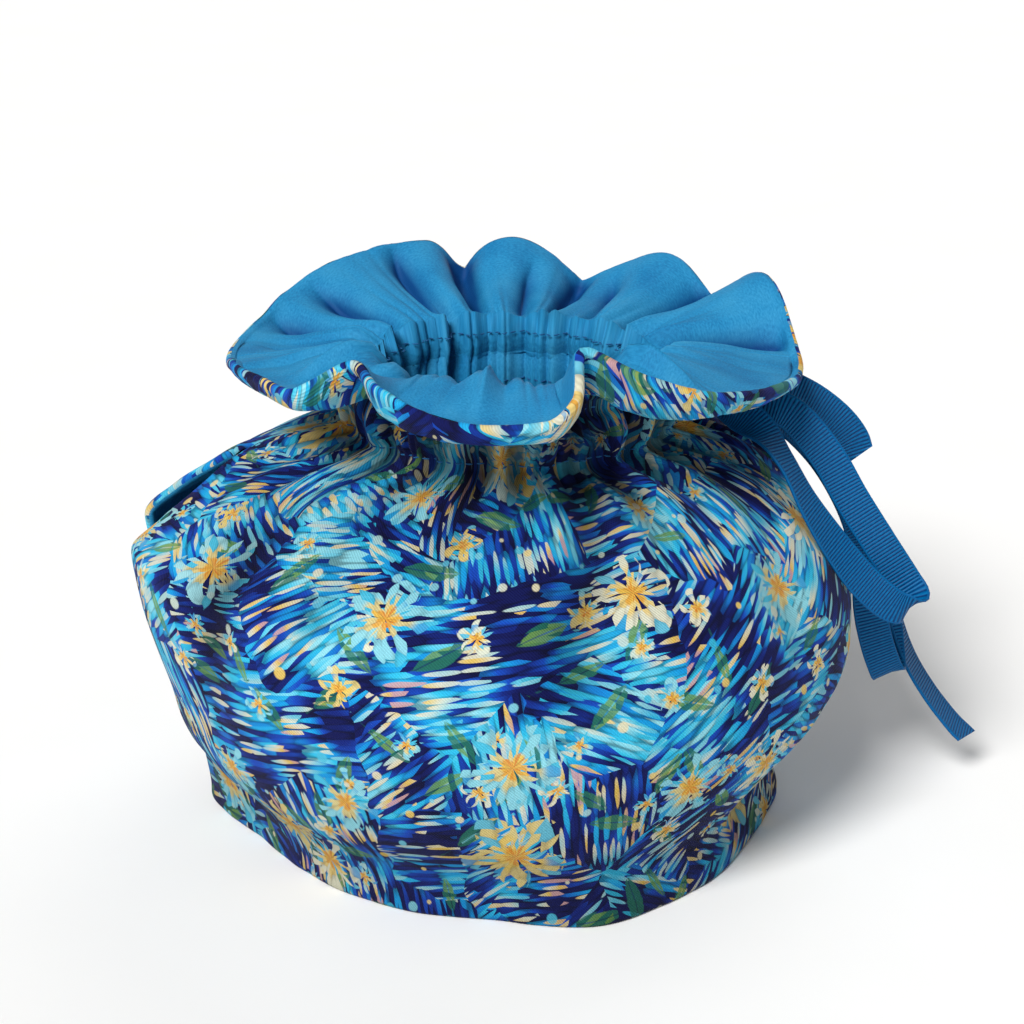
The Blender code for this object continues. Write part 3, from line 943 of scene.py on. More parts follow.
    def _highlights(self, recipe: Recipe, place: Term, drift: Term, colour: Term) -> Term:
        """Adds separate thin dabs of pale blue, cream, butter and a little pink.

        Args:
            recipe: The material being made.
            place: Place in the flat cut.
            drift: How light the ground is here, from 0 to 1.
            colour: What lies under the dabs.

        Returns:
            The colour with the dabs on it.
        """
        shift = self.highlight_shift
        rim, tone, other = self.patched(recipe, place, shift, self.dab_length * 1.15, self.dab_width)
        shown = recipe.step(0.44 + 0.1 * other - rim, -0.04, 0.06) * (tone > 1.12 - 0.9 * drift)
        tints = (self.sky, self.pale, self.cream, self.butter, self.blush)
        stops = tuple(zip((0.0, 0.25, 0.6, 0.88, 1.0), tints, strict=True))
        group = recipe.noise(recipe.shifted(place, (shift, 17.0, 0.0)), self.highlight_group, 0.0)
        return recipe.mix(shown * 0.85, colour, recipe.ramp((group - 0.5) * 2.2 + 0.2 + 0.5 * other, stops))

    def _leaves(self, recipe: Recipe, place: Term, tone: Term, colour: Term) -> Term:
        """Adds pointed leaves in teal and moss green.

        Args:
            recipe: The material being made.
            place: Place in the flat cut.
            tone: A random number of the ground's dabs.
            colour: What lies under the leaves.

        Returns:
            The colour with the leaves on it.
        """
        size = self.leaves
        cells = recipe.scaled(recipe.shifted(place, (7.0, 3.0, 0.0)), (1 / size.pitch,) * 3)
        _, random_colour, centre = recipe.cells(cells, 0.9)
        apart = recipe.node("VectorMath", {"operation": "SUBTRACT"}, {0: cells, 1: centre})[0]
        first, second, third = recipe.parts(random_colour)
        inputs = {"Vector": recipe.scaled(apart, (size.pitch,) * 3), "Angle": first * ANY_TURN}
        x, y, _ = recipe.parts(recipe.node("VectorRotate", {"rotation_type": "Z_AXIS"}, inputs)[0])
        share = x / (size.half_length[0] + size.half_length[1] * second)
        widest = size.half_width[0] + size.half_width[1] * second
        half = (1.0 - share * share).math("MAXIMUM", 0.0) * widest
        shown = recipe.step(half - abs(y) - (tone - 0.5) * 0.9, -0.1, 0.3) * (third > size.empty_share)
        green = recipe.mix(recipe.step(tone, 0.35, 0.75), self.leaf, self.moss)
        vein = recipe.step(size.vein_width - abs(y), 0.0, 0.3) * 0.5
        return recipe.mix(shown * (0.85 - vein), colour, green)

    def _flowers(self, recipe: Recipe, place: Term, size: FlowerSize, rough: Term, colour: Term) -> Term:
        """Adds a layer of flowers, their petals painted in dabs that run outwards.

        Args:
            recipe: The material being made.
            place: Place in the flat cut.
            size: How the layer is scattered.
            rough: A random number of the ground's dabs.
            colour: What lies under the flowers.

        Returns:
            The colour with the flowers on it.
        """
        moved = recipe.shifted(place, (size.shift, size.shift * 0.6, 0.0))
        cells = recipe.scaled(moved, (1 / size.pitch,) * 3)
        _, random_colour, centre = recipe.cells(cells, 0.8)
        apart = recipe.node("VectorMath", {"operation": "SUBTRACT"}, {0: cells, 1: centre})[0]
        x, y, _ = recipe.parts(recipe.scaled(apart, (size.pitch,) * 3))
        first, second, third = recipe.parts(random_colour)
        radius = (x * x + y * y) ** 0.5
        angle = y.math("ARCTAN2", x)
        rays = {0: angle * (size.rays / (2 * math.pi)), 1: radius / size.ray_length, 2: first * 50.0}
        rim, ray_colour, _ = recipe.cells(recipe.node("CombineXYZ", {}, rays)[0])
        one, two, _ = recipe.parts(ray_colour)
        petals = 0.42 + 0.58 * abs((angle * 2.5 + first * ANY_TURN).cosine()) ** 0.6
        reach = petals * (0.7 + 0.5 * second) * size.radius
        share = radius / reach
        edge = reach - radius + (one - 0.6) * 0.22 * size.radius
        shown = recipe.step(edge, -0.2, 0.2) * (third > size.empty_share)
        shown = shown * (1.0 - (two < 0.5 * share) * (rough > 0.3))
        petal = recipe.mix(recipe.step(first, 0.35, 0.6), self.cream, self.pale)
        petal = recipe.mix(recipe.step(second, 0.72, 0.78) * 0.8, petal, self.butter)
        petal = recipe.mix((one > 0.74) * 0.85, petal, self.sky)
        petal = recipe.mix((two > 0.86) * recipe.step(share, 0.4, 0.8) * 0.8, petal, self.cerulean)
        petal = recipe.mix(recipe.step(0.62 - share, -0.1, 0.15) * (one < 0.55) * 0.75, petal, self.butter)
        core = recipe.step(0.3 - share + (one - 0.5) * 0.2, -0.03, 0.05)
        petal = recipe.mix(core, petal, recipe.mix(two, self.orange, self.butter))
        petal = recipe.shade(petal, 1.05 - 0.3 * recipe.step(rim, 0.4, 0.8))
        return recipe.mix(shown * 0.95, colour, petal)

    def _buds(self, recipe: Recipe, place: Term, colour: Term) -> Term:
        """Adds small dots of cream, yellow and pale blue.

        Args:
            recipe: The material being made.
            place: Place in the flat cut.
            colour: What lies under the dots.

        Returns:
            The colour with the dots on it.
        """
        size = self.buds
        distance, random_colour, _ = recipe.cells(recipe.scaled(place, (1 / size.pitch,) * 3), 0.9)
        first, second, third = recipe.parts(random_colour)
        radius = size.radius[0] + size.radius[1] * second
        shown = recipe.step(radius - distance, -0.015, 0.03) * (third > size.empty_share)
        dot = recipe.ramp(first, ((0.0, self.butter), (0.4, self.cream), (0.7, self.pale), (1.0, self.sky)))
        return recipe.mix(shown * 0.85, colour, dot)


@dataclass(frozen=True)
class PlainLining(Cloth):
    """Plain sky-blue cotton, a little uneven in tone, with painted shade in its creases."""

    roughness: float = 0.62
    sheen: float = 0.0
    # Painted shade deep in the creases.
    crease_shade: Colour = (0.0005, 0.040, 0.18)
    deep: Colour = (0.006, 0.150, 0.35)
    blue: Colour = (0.015, 0.215, 0.44)
    worn: Colour = (0.036, 0.270, 0.49)
    thread_pitch: float = 0.55
    tone_size: float = 22.0
    valley_share: float = 0.92
    relief_depth: float = 0.09

    def make(self) -> bpy.types.Material:
        """Makes the material.

        Returns:
            The finished material.
        """
        recipe = Recipe("lining_cotton")
        place = recipe.cut_place()
        across, up, _ = recipe.parts(place)
        turn = 2 * math.pi / self.thread_pitch
        weave = (across * turn).sine() * (up * turn).sine()
        yarn = recipe.noise(recipe.scaled(place, (0.45, 1.0, 1.0)), 0.55, 2.0)
        tone = recipe.noise(place, self.tone_size, 3.0)
        stops = ((0.25, self.deep), (0.5, self.blue), (0.8, self.worn))
        colour = recipe.ramp(tone + 0.5 * (yarn - 0.5), stops)
        colour = recipe.shade(colour, 0.8 + 0.4 * yarn + 0.06 * weave)
        # Painted shade: the creases are mixed towards a darker blue.
        colour = recipe.mix(self.valley_share * recipe.valleys(), colour, self.crease_shade)
        height = 0.5 + 0.3 * weave + 0.4 * (yarn - 0.5)
        return recipe.surface(self.inputs(colour, recipe.relief(height, self.relief_depth)))


@dataclass(frozen=True)
class Grosgrain(Cloth):
    """Ribbed ribbon with a smooth woven edge."""

    roughness: float = 0.58
    rib_gloss: float = 0.16
    sheen: float = 0.0
    specular: float = 0.1
    # Blues from the painted shade in the rib grooves to the lighter rib crests.
    deep: Colour = (0.0002, 0.016, 0.10)
    blue: Colour = (0.0003, 0.085, 0.25)
    bright: Colour = (0.0008, 0.200, 0.44)
    rib_pitch: float = 1.0
    half_width: float = 5.0
    selvedge: tuple[float, float] = (0.75, 0.55)
    selvedge_tone: float = 0.75
    relief_depth: float = 0.22

    def make(self) -> bpy.types.Material:
        """Makes the material.

        Returns:
            The finished material.
        """
        recipe = Recipe("ribbon_grosgrain")
        place = recipe.cut_place()
        across, up, _ = recipe.parts(place)
        rib = abs((up * (math.pi / self.rib_pitch)).sine())
        starts, full = (self.half_width - inwards for inwards in self.selvedge)
        rib = rib + recipe.step(abs(across), starts, full) * (self.selvedge_tone - rib)
        yarn = recipe.noise(recipe.scaled(place, (1.0, 3.0, 1.0)), 1.2, 2.0)
        # Colour follows the ribs: darker in the grooves and lighter on the crests, painted shade and light
        # of the ribs; the yarn noise is the ribbon's own tone.
        tone = 0.04 + rib * 0.62 + (yarn - 0.5) * 0.5
        colour = recipe.ramp(tone, ((0.0, self.deep), (0.5, self.blue), (1.0, self.bright)))
        normal = recipe.relief(rib + 0.15 * yarn, self.relief_depth)
        return recipe.surface(self.inputs(colour, normal, self.roughness - self.rib_gloss * rib))


@dataclass(frozen=True)
class SewingThread(Cloth):
    """Twisted polyester thread."""

    roughness: float = 0.55
    deep: Colour = (0.003, 0.04, 0.17)
    light: Colour = (0.03, 0.19, 0.42)
    twist_pitch: float = 0.45
    relief_depth: float = 0.08

    def make(self) -> bpy.types.Material:
        """Makes the material.

        Returns:
            The finished material.
        """
        recipe = Recipe("sewing_thread")
        across, up, _ = recipe.parts(recipe.cut_place())
        twist = 0.5 + 0.5 * ((across + up) * (2 * math.pi / self.twist_pitch)).sine()
        colour = recipe.mix(twist, self.deep, self.light)
        return recipe.surface(self.inputs(colour, recipe.relief(twist, self.relief_depth)))


@dataclass(frozen=True)
class PaleFloor(Cloth):
    """Matt pale paper that the cosy stands on."""

    roughness: float = 0.9
    sheen: float = 0.0
    white: Colour = (0.90, 0.90, 0.90)
    grey: Colour = (0.87, 0.87, 0.87)
    tone_size: float = 60.0
    relief_depth: float = 0.02

    def make(self) -> bpy.types.Material:
        """Makes the material.

        Returns:
            The finished material.
        """
        recipe = Recipe("pale_floor")
        tone = recipe.noise(recipe.cut_place(), self.tone_size, 3.0)
        colour = recipe.mix(tone, self.grey, self.white)
        return recipe.surface(self.inputs(colour, recipe.relief(tone, self.relief_depth)))


# The cosy's form


@dataclass
class CosyForm:
    """Outer face of the cosy. Rows 0 to 14 climb the body, and 14 to 19 cross the frill."""

    lower_seam_z: float = 118.5
    upper_seam_z: float = 133.0
    seam_radius: float = 45.0
    frill_crest: float = 8.5
    sway_fade_z: tuple[float, float] = (4.0, 42.0)
    seam_calm_degrees: float = 9.0
    gather_fade_power: float = 1.3
    gather_frill_share: float = 0.5
    crease_start_share: float = 0.25
    crease_end_share: float = 0.3
    step_rows: float = 0.02
    step_degrees: float = 0.4
    lower_seam_row: float = 12.0
    upper_seam_row: float = 14.0
    ripple_depth: float = 1.5
    ripple_waves: Table = ((23.0, 0.7, 0.0), (37.0, 0.3, 1.0))
    ripple_sways: tuple[Table, ...] = (((1.9, 4.0, 0.0), (1.1, 9.0, 1.0)), ((2.1, 5.0, 0.0),))
    puff_height: float = 1.7
    pleat_depth: float = 0.45
    pleat_counts: tuple[tuple[float, float], ...] = ((17.0, 1.0), (29.0, 0.5))
    pleat_sways: Table = ((0.9, 4.0, 1.0), (0.5, 9.0, 0.0))
    pleat_power: float = 2.0
    body_pleat_fade: float = 13.0
    frill_pleat_fade: float = 15.0
    fade_unevenness: float = 0.6
    crease_steep: float = 1.0
    crease_slope: float = 3.8
    crease_share: float = 1.6
    # Painted shade: the fold depth for full shade, its power, its share in the gathers and, on the print,
    # at the channel under the frill.
    valley_depth: float = 5.0
    valley_power: float = 1.7
    gather_shade: float = 0.6
    neck_shade: float = 0.35
    wrinkles: tuple[tuple[int, float, float, int], ...] = ((27, 23.0, 0.6, 3), (70, 9.0, 0.2, 5))
    arc_rows: Numbers = field(init=False)
    arc_lengths: Numbers = field(init=False)

    def __post_init__(self) -> None:
        """Measures the mean length up the cloth to each row."""
        self.arc_rows = np.linspace(0.0, self.last_row, 1901)
        rows, angles = np.meshgrid(self.arc_rows, np.arange(5.0, FULL_TURN, 10.0), indexing="ij")
        self.arc_lengths = run_length(self.smooth_point(rows, angles)).mean(axis=1)

    @property
    def last_body_row(self) -> int:
        """Number of the upper seam's row."""
        return len(BODY) - 1

    @property
    def last_row(self) -> int:
        """Number of the frill edge's row."""
        return len(BODY) - 1 + len(FRILL)

    def arc_at(self, rows: Numbers) -> Numbers:
        """Mean length up the cloth at rows."""
        return np.interp(rows, self.arc_rows, self.arc_lengths)

    def row_at(self, arcs: Numbers) -> Numbers:
        """Rows at mean lengths up the cloth."""
        return np.interp(arcs, self.arc_lengths, self.arc_rows)

    def body_point(self, rows: Numbers, angles: Numbers) -> Numbers:
        """Places on the smooth body.

        Args:
            rows: Row numbers.
            angles: Angles in degrees.

        Returns:
            Places in millimetres.
        """
        index = np.arange(len(BODY))
        table = np.array(BODY)
        height, right, back, left, front = (smooth(index, table[:, k], rows) for k in range(5))
        across, away = np.cos(np.radians(angles)), np.sin(np.radians(angles))
        x = np.where(across > 0, right, left) * across
        y = np.where(away > 0, back, front) * away
        low, high = self.sway_fade_z
        sway = around(HEM_SWAY, 1, angles) * (1 - ease((height - low) / (high - low)))
        return np.stack([x + sway * across, y + sway * away, height], -1)

    def frill_point(self, shares: Numbers, angles: Numbers) -> Numbers:
        """Places on the smooth frill at shares of its width.

        Args:
            shares: Shares of the frill's width, from 0 at the seam.
            angles: Angles in degrees.

        Returns:
            Places in millimetres.
        """
        index = np.arange(len(FRILL) + 1) / len(FRILL)
        table = np.array(((0.0,) * 5, *FRILL))
        reach, lie, own, stand_reach, stand_rise = (smooth(index, table[:, k], shares) for k in range(5))
        edge_radius, edge_height, stands = (around(FRILL_EDGE, k, angles) for k in (1, 2, 3))
        out = reach + (stand_reach - reach) * stands
        radius = self.seam_radius + (edge_radius - self.seam_radius) * out
        edge_rise = edge_height - self.upper_seam_z
        lying = lie + (edge_rise - self.frill_crest) * own
        height = self.upper_seam_z + lying + (edge_rise * stand_rise - lying) * stands
        x, y = radius * np.cos(np.radians(angles)), radius * np.sin(np.radians(angles))
        return np.stack([x, y, height], -1)

    def smooth_point(self, rows: Numbers, angles: Numbers) -> Numbers:
        """Places on the form without its folds.

        Args:
            rows: Row numbers.
            angles: Angles in degrees.

        Returns:
            Places in millimetres.
        """
        body = self.body_point(np.minimum(rows, self.last_body_row), angles)
        frill = self.frill_point(np.clip((rows - self.last_body_row) / len(FRILL), 0.0, 1.0), angles)
        return np.where((rows > self.last_body_row)[..., None], frill, body)

    def side_calm(self, angles: Numbers) -> Numbers:
        """0 on the side seams and 1 away from them."""
        right, left = np.abs(turn_between(angles, 0.0)), np.abs(turn_between(angles, HALF_TURN))
        return ease(np.minimum(right, left) / self.seam_calm_degrees)

    def fold_depth(self, rows: Numbers, angles: Numbers) -> Numbers:
        """How far the large folds push the cloth inwards.

        Args:
            rows: Row numbers.
            angles: Angles in degrees.

        Returns:
            Depths in millimetres.
        """
        index = np.arange(len(BODY))
        height = smooth(index, [row[0] for row in BODY], rows)
        frill = np.clip((rows - self.last_body_row) / len(FRILL), 0.0, 1.0)
        calm = np.clip(1 - frill / self.gather_frill_share, 0.0, 1.0)
        depth = np.zeros(np.broadcast(rows, angles).shape)
        for neck, low, low_z, width, deep in GATHERS:
            down = np.clip((self.lower_seam_z - height) / (self.lower_seam_z - low_z), 0.0, 1.0)
            fade = (1 - down) ** self.gather_fade_power * calm
            depth += deep * fade * bump(turn_between(angles, neck + (low - neck) * down), width)
        for top, top_z, middle, middle_z, low, low_z, width, deep in CREASES:
            centre = smooth((low_z, middle_z, top_z), (low, middle, top), height)
            upper = np.clip((top_z - height) / (top_z - middle_z), 0.0, 1.0)
            lower = np.clip((height - low_z) / (middle_z - low_z), 0.0, 1.0)
            fade = np.sin(np.minimum(upper, lower) * math.pi / 2) ** 2 * (frill <= 0)
            depth += deep * fade * bump(turn_between(angles, centre), width)
        for seam, edge, reach, width, deep in FRILL_CREASES:
            begin = np.sin(np.clip(frill / self.crease_start_share, 0.0, 1.0) * math.pi / 2)
            fade = begin * np.clip((reach - frill) / self.crease_end_share, 0.0, 1.0)
            depth += deep * fade * bump(turn_between(angles, seam + (edge - seam) * frill), width)
        return depth * self.side_calm(angles)

    def ripples(self, rows: Numbers, angles: Numbers) -> Numbers:
        """How far the small gathers at the channel push both cloths inwards.

        Args:
            rows: Row numbers.
            angles: Angles in degrees.

        Returns:
            Depths in millimetres.
        """
        turn = np.radians(angles)
        waves = np.zeros(np.shape(turn))
        for (count, weight, start), sways in zip(self.ripple_waves, self.ripple_sways, strict=True):
            waves = waves + weight * swaying_wave(turn, count, sways, start)
        return self.ripple_depth * waves * self.gather_reach(self.arc_at(rows), angles)

    def sharp_creases(self, rows: Numbers, angles: Numbers) -> Numbers:
        """How far the frill's creases, each steep on one side, push both cloths inwards.

        Args:
            rows: Row numbers.
            angles: Angles in degrees.

        Returns:
            Depths in millimetres.
        """
        frill = np.clip((rows - self.last_body_row) / len(FRILL), 0.0, 1.0)
        depth = np.zeros(np.broadcast(rows, angles).shape)
        for seam, edge, reach, _, deep in FRILL_CREASES:
            fade = ease(frill / self.crease_start_share) * ease((reach - frill) / self.crease_end_share)
            centre = seam + (edge - seam) * frill
            away = turn_between(angles, centre) * (1.0 if seam > FULL_TURN / 4 else -1.0)
            width = np.where(away < 0, self.crease_steep, self.crease_slope)
            depth = depth + self.crease_share * deep * fade * np.exp(-np.abs(away) / width)
        return depth

    def wrinkle_depth(self, rows: Numbers, angles: Numbers) -> Numbers:
        """How far soft wrinkles push both cloths inwards.

        Args:
            rows: Row numbers.
            angles: Angles in degrees.

        Returns:
            Depths in millimetres.
        """
        arcs = self.arc_at(rows)
        depth = np.zeros(np.broadcast(rows, angles).shape)
        for count, size, deep, seed in self.wrinkles:
            depth = depth + deep * lattice_noise(angles * count / FULL_TURN, arcs / size, count, seed)
        return depth

    def valley_share(self, rows: Numbers, angles: Numbers, sense: float) -> Numbers:
        """How much painted shade the cloth takes: deep in creases and gathers and, seen from outside, under
        the frill at the channel.

        Args:
            rows: Row numbers.
            angles: Angles in degrees.
            sense: 1 as seen from outside and -1 as seen from inside.

        Returns:
            Shares from 0 to 1.
        """
        gathers = self.ripples(rows, angles) / self.ripple_depth
        large = (self.fold_depth(rows, angles) + self.sharp_creases(rows, angles)) / self.valley_depth
        hollow = sense * (large + self.gather_shade * gathers)
        # Seen from outside, painted shade also falls under the frill at the channel.
        if sense > 0:
            hollow = hollow + self.neck_shade * self.gather_reach(self.arc_at(rows), angles)
        return np.clip(hollow, 0.0, 1.0) ** self.valley_power

    def seam_arcs(self) -> tuple[float, float]:
        """Lengths up the cloth to the two channel seams."""
        low, high = self.arc_at(np.array([self.lower_seam_row, self.upper_seam_row]))
        return float(low), float(high)

    def gather_reach(self, arcs: Numbers, angles: Numbers) -> Numbers:
        """1 at the channel, fading unevenly down the body and out over the frill.

        Args:
            arcs: Lengths up the cloth.
            angles: Angles in degrees.

        Returns:
            Shares from 0 to 1.
        """
        low, high = self.seam_arcs()
        turn = np.radians(angles)
        longer = 1 + self.fade_unevenness * np.sin(5 * turn + 0.7) * np.sin(11 * turn)
        below = np.exp(-np.maximum(low - arcs, 0.0) / (self.body_pleat_fade * longer))
        return below * np.exp(-np.maximum(arcs - high, 0.0) / (self.frill_pleat_fade * longer))

    def puffs(self, rows: Numbers, angles: Numbers, lead: float) -> Numbers:
        """How far the gathered cloth puffs out between its pleats, below zero in them.

        Args:
            rows: Row numbers.
            angles: Angles in degrees.
            lead: Degrees that moves them round, so that the two cloths differ.

        Returns:
            Heights in millimetres.
        """
        turn = np.radians(angles + lead)
        valley = np.zeros(np.broadcast(rows, angles).shape)
        for count, weight in self.pleat_counts:
            sways = tuple((depth, times, lag * count) for depth, times, lag in self.pleat_sways)
            wave = np.abs(swaying_wave(turn, count, sways))
            valley = np.maximum(valley, weight * (1 - wave) ** self.pleat_power)
        height = self.puff_height * (1 - valley) - self.pleat_depth * valley
        return height * self.gather_reach(self.arc_at(rows), angles)

    def faces_at(self, rows: Numbers, angles: Numbers) -> tuple[Numbers, Numbers]:
        """Outer face and outward direction.

        Args:
            rows: Row numbers.
            angles: Angles in degrees.

        Returns:
            Places and unit normals.
        """
        here = self.smooth_point(rows, angles)
        step = self.step_degrees
        along = self.smooth_point(rows, angles + step) - self.smooth_point(rows, angles - step)
        up = self.smooth_point(np.minimum(rows + self.step_rows, self.last_row), angles)
        up = up - self.smooth_point(np.maximum(rows - self.step_rows, 0.0), angles)
        normal = unit(np.cross(along, up))
        inwards = self.fold_depth(rows, angles) + self.ripples(rows, angles)
        inwards = inwards + self.sharp_creases(rows, angles) + self.wrinkle_depth(rows, angles)
        return here - normal * inwards[..., None], normal


# Cloths


class Half(Enum):
    """The two halves of the cosy, each with the angle that it starts from."""

    FRONT = HALF_TURN
    BACK = 0.0


class Layer(Enum):
    """The two cloths of each half."""

    PRINT = "panel"
    LINING = "lining"


@dataclass(frozen=True)
class CosyCloth:
    """One cloth of one half: a fine grid with turned edges."""

    form: CosyForm
    half: Half
    layer: Layer
    wall: float = 2.9
    seam_roll: float = 0.8
    seam_overlap: float = 0.14
    coarse_pitch: float = 1.3
    fine_pitch: float = 0.45
    fine_reach: float = 6.0
    columns: int = 330
    hem_inside: tuple[float, float] = (7.0, 2.8)
    lining_starts: float = 4.5
    lining_sunk: float = 0.2
    rim_turns: tuple[float, float] = (0.8, 0.74)
    side_turns: tuple[float, float] = (0.62, 0.55)
    slit_blend: float = 1.5
    search_degrees: float = 20.0
    search_steps: int = 26
    groove_depth: float = 0.9
    groove_width: float = 1.1
    inner_groove_share: float = 0.7
    channel_swell: float = 1.2
    lining_lead: float = 1.3
    belly_row: float = 5.0
    cut_width: float = 0.31
    cut_length: float = 0.205
    cut_area: float = 0.057

    @property
    def name(self) -> str:
        """Name of the node that it replaces."""
        return f"{self.half.name.lower()}_{self.layer.value}"

    def side_limits(self, rows: Numbers) -> tuple[Numbers, Numbers]:
        """Angles of the cloth's two side edges at rows.

        Args:
            rows: Row numbers.

        Returns:
            Angle of the first and of the last edge.
        """
        limits = []
        for side, sense in ((self.half.value, 1.0), (self.half.value + HALF_TURN, -1.0)):
            slit = RIGHT_SLIT if side % FULL_TURN == 0 else LEFT_SLIT
            near, far = np.zeros(len(rows)), np.full(len(rows), self.search_degrees)
            for _ in range(self.search_steps):
                middle = (near + far) / 2
                point, _ = self.form.faces_at(rows, side + sense * middle)
                short = np.abs(point[:, 1]) < slit_width(slit, point[:, 2])
                near, far = np.where(short, middle, near), np.where(short, far, middle)
            limits.append(side + sense * (far - self.seam_overlap * (1 - self._slit_share(rows))))
        return limits[0], limits[1]

    def climb(self, first: float, last: float) -> Numbers:
        """Lengths up the cloth, closer together at the seams.

        Args:
            first: Where the lengths start.
            last: Where they end.

        Returns:
            Rising lengths.
        """
        seams = np.array(self.form.seam_arcs())
        lengths = [first]
        while lengths[-1] < last:
            away = float(np.min(np.abs(seams - lengths[-1])))
            share = float(ease(np.array(away / self.fine_reach)))
            lengths.append(lengths[-1] + self.fine_pitch + (self.coarse_pitch - self.fine_pitch) * share)
        climb = np.array(lengths)
        return first + (climb - first) * (last - first) / (climb[-1] - first)

    def row_plan(self) -> tuple[Numbers, Numbers]:
        """Length up the cloth and inward offset of every row of points.

        Returns:
            Lengths and offsets.
        """
        top = float(self.form.arc_lengths[-1])
        roll = self.wall / 2
        if self.layer is Layer.PRINT:
            hem = np.linspace(1.0, 0.0, 9)[:-1] * math.pi
            rim = np.linspace(0.0, self.rim_turns[0], 9)[1:] * math.pi
            inside = np.linspace(*self.hem_inside, 4)
            middle = self.climb(roll, top - roll)
            arcs = [inside, roll * (1 - np.sin(hem)), middle, top - roll * (1 - np.sin(rim))]
            flat = (self.wall + 0 * inside, 0 * middle)
            insets = [flat[0], roll * (1 - np.cos(hem)), flat[1], roll * (1 - np.cos(rim))]
        else:
            rim = np.linspace(1.0, self.rim_turns[1], 5)[1:] * math.pi
            middle = self.climb(self.lining_starts, top - roll)
            arcs = [middle, top - roll * (1 - np.sin(rim))]
            insets = [self.wall + 0 * middle, roll * (1 - np.cos(rim)) - self.lining_sunk]
        return np.concatenate(arcs), np.concatenate(insets)

    def column_plan(self) -> tuple[Numbers, Numbers]:
        """Distance in from the edge and inward offset of the edge columns, both in rolls.

        Returns:
            Distances and offsets.
        """
        if self.layer is Layer.PRINT:
            turn = np.linspace(self.side_turns[0], 0.0, 7) * math.pi
        else:
            turn = np.linspace(self.side_turns[1], 1.0, 6) * math.pi
        return 1 - np.sin(turn), 1 - np.cos(turn)

    def grid(self) -> tuple[Numbers, Numbers, Numbers]:
        """Lays the grid of points over the form.

        Returns:
            Points in millimetres, their places in the flat cut in metres and their share of painted shade,
            deep in creases and, on the print, under the frill.
        """
        arcs, row_insets = self.row_plan()
        rows = self.form.row_at(arcs)
        first, last = self.side_limits(rows)
        edge_in, edge_inset = self.column_plan()
        roll = self.seam_roll + (self.wall / 2 - self.seam_roll) * self._slit_share(rows)
        from_first = first[:, None] + roll[:, None] * edge_in / self._girth_per_degree(rows, first)
        from_last = last[:, None] - roll[:, None] * edge_in / self._girth_per_degree(rows, last)
        share = np.linspace(0.0, 1.0, self.columns)[1:-1]
        inner = from_first[:, -1:] + (from_last[:, -1:] - from_first[:, -1:]) * share
        angles = np.concatenate([from_first, inner, from_last[:, ::-1]], axis=1)
        across = np.concatenate([edge_inset, np.full(len(share), edge_inset[-1]), edge_inset[::-1]])
        side_insets = roll[:, None] * across
        row_grid = np.broadcast_to(rows[:, None], angles.shape)
        if self.layer is Layer.PRINT:
            inset = np.maximum(side_insets, row_insets[:, None]) + self._seam_relief(row_grid)
            inset = inset - self.form.puffs(row_grid, angles, 0.0)
        else:
            inset = np.minimum(self.wall - roll[:, None] * 2 + side_insets, row_insets[:, None])
            inset = inset - self._seam_relief(row_grid)
            inset = inset + self.form.puffs(row_grid, angles, self.lining_lead)
        face, normal = self.form.faces_at(row_grid, angles)
        points = face - normal * inset[..., None]
        points[..., 2] = np.maximum(points[..., 2], 0.0)
        sense = 1.0 if self.layer is Layer.PRINT else -1.0
        valleys = self.form.valley_share(row_grid, angles, sense)
        return points, self._flat_places(row_grid, angles), valleys

    def _girth_per_degree(self, rows: Numbers, sides: Numbers) -> Numbers:
        """Millimetres of girth in a degree at side edges, as a column.

        Args:
            rows: Row numbers.
            sides: Angle of the side edge at each row.

        Returns:
            One length for each row.
        """
        turn = 0.2
        apart = self.form.smooth_point(rows, sides + turn) - self.form.smooth_point(rows, sides - turn)
        return np.linalg.norm(apart, axis=-1, keepdims=True) / (2 * turn)

    def _slit_share(self, rows: Numbers) -> Numbers:
        """1 beside the slits and 0 where the side seams are sewn shut.

        Args:
            rows: Row numbers.

        Returns:
            Shares from 0 to 1.
        """
        height = self.form.smooth_point(rows, np.zeros(len(rows)))[:, 2]
        narrower = np.minimum(slit_width(LEFT_SLIT, height), slit_width(RIGHT_SLIT, height))
        open_here = ease(narrower / self.slit_blend)
        return np.where(rows > self.form.last_body_row, 0.0, open_here)

    def _seam_relief(self, rows: Numbers) -> Numbers:
        """Grooves at the two channel seams and, inside, the swell of the channel between them.

        Args:
            rows: Row numbers.

        Returns:
            Depths in millimetres, below zero for the swell.
        """
        arcs = self.form.arc_at(rows)
        low, high = self.form.seam_arcs()
        grooves = bump(arcs - low, self.groove_width) + bump(arcs - high, self.groove_width)
        swell = bump(arcs - (low + high) / 2, (high - low) / 3)
        if self.layer is Layer.PRINT:
            return self.groove_depth * grooves
        return self.inner_groove_share * self.groove_depth * grooves - self.channel_swell * swell

    def _flat_places(self, rows: Numbers, angles: Numbers) -> Numbers:
        """Places in the flat cut: across by the belly's girth, up by the length of the unfolded form.

        Args:
            rows: Row numbers.
            angles: Angles in degrees.

        Returns:
            Places in metres.
        """
        belly_angles = np.linspace(self.half.value - 2, self.half.value + HALF_TURN + 2, 400)
        belly = self.form.smooth_point(np.full(len(belly_angles), self.belly_row), belly_angles)
        across = np.interp(angles, belly_angles, run_length(belly))
        up = run_length(self.form.smooth_point(rows, angles))
        return np.stack([across, up], -1) * MM

    def build(self, finish: bpy.types.Material) -> bpy.types.Object:
        """Builds and dresses the cloth.

        Args:
            finish: Its material.

        Returns:
            The piece.
        """
        points, cut, valleys = self.grid()
        faces = grid_faces(*points.shape[:2], flipped=self.layer is Layer.LINING)
        corners = placed(points).reshape(-1, 3)
        piece = mesh_object(f"{self.name}_cloth", corners, faces, cut.reshape(-1, 2), valleys.ravel())
        piece.data.materials.append(finish)
        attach(piece, ONLY_BODY)
        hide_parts(self.name)
        return piece


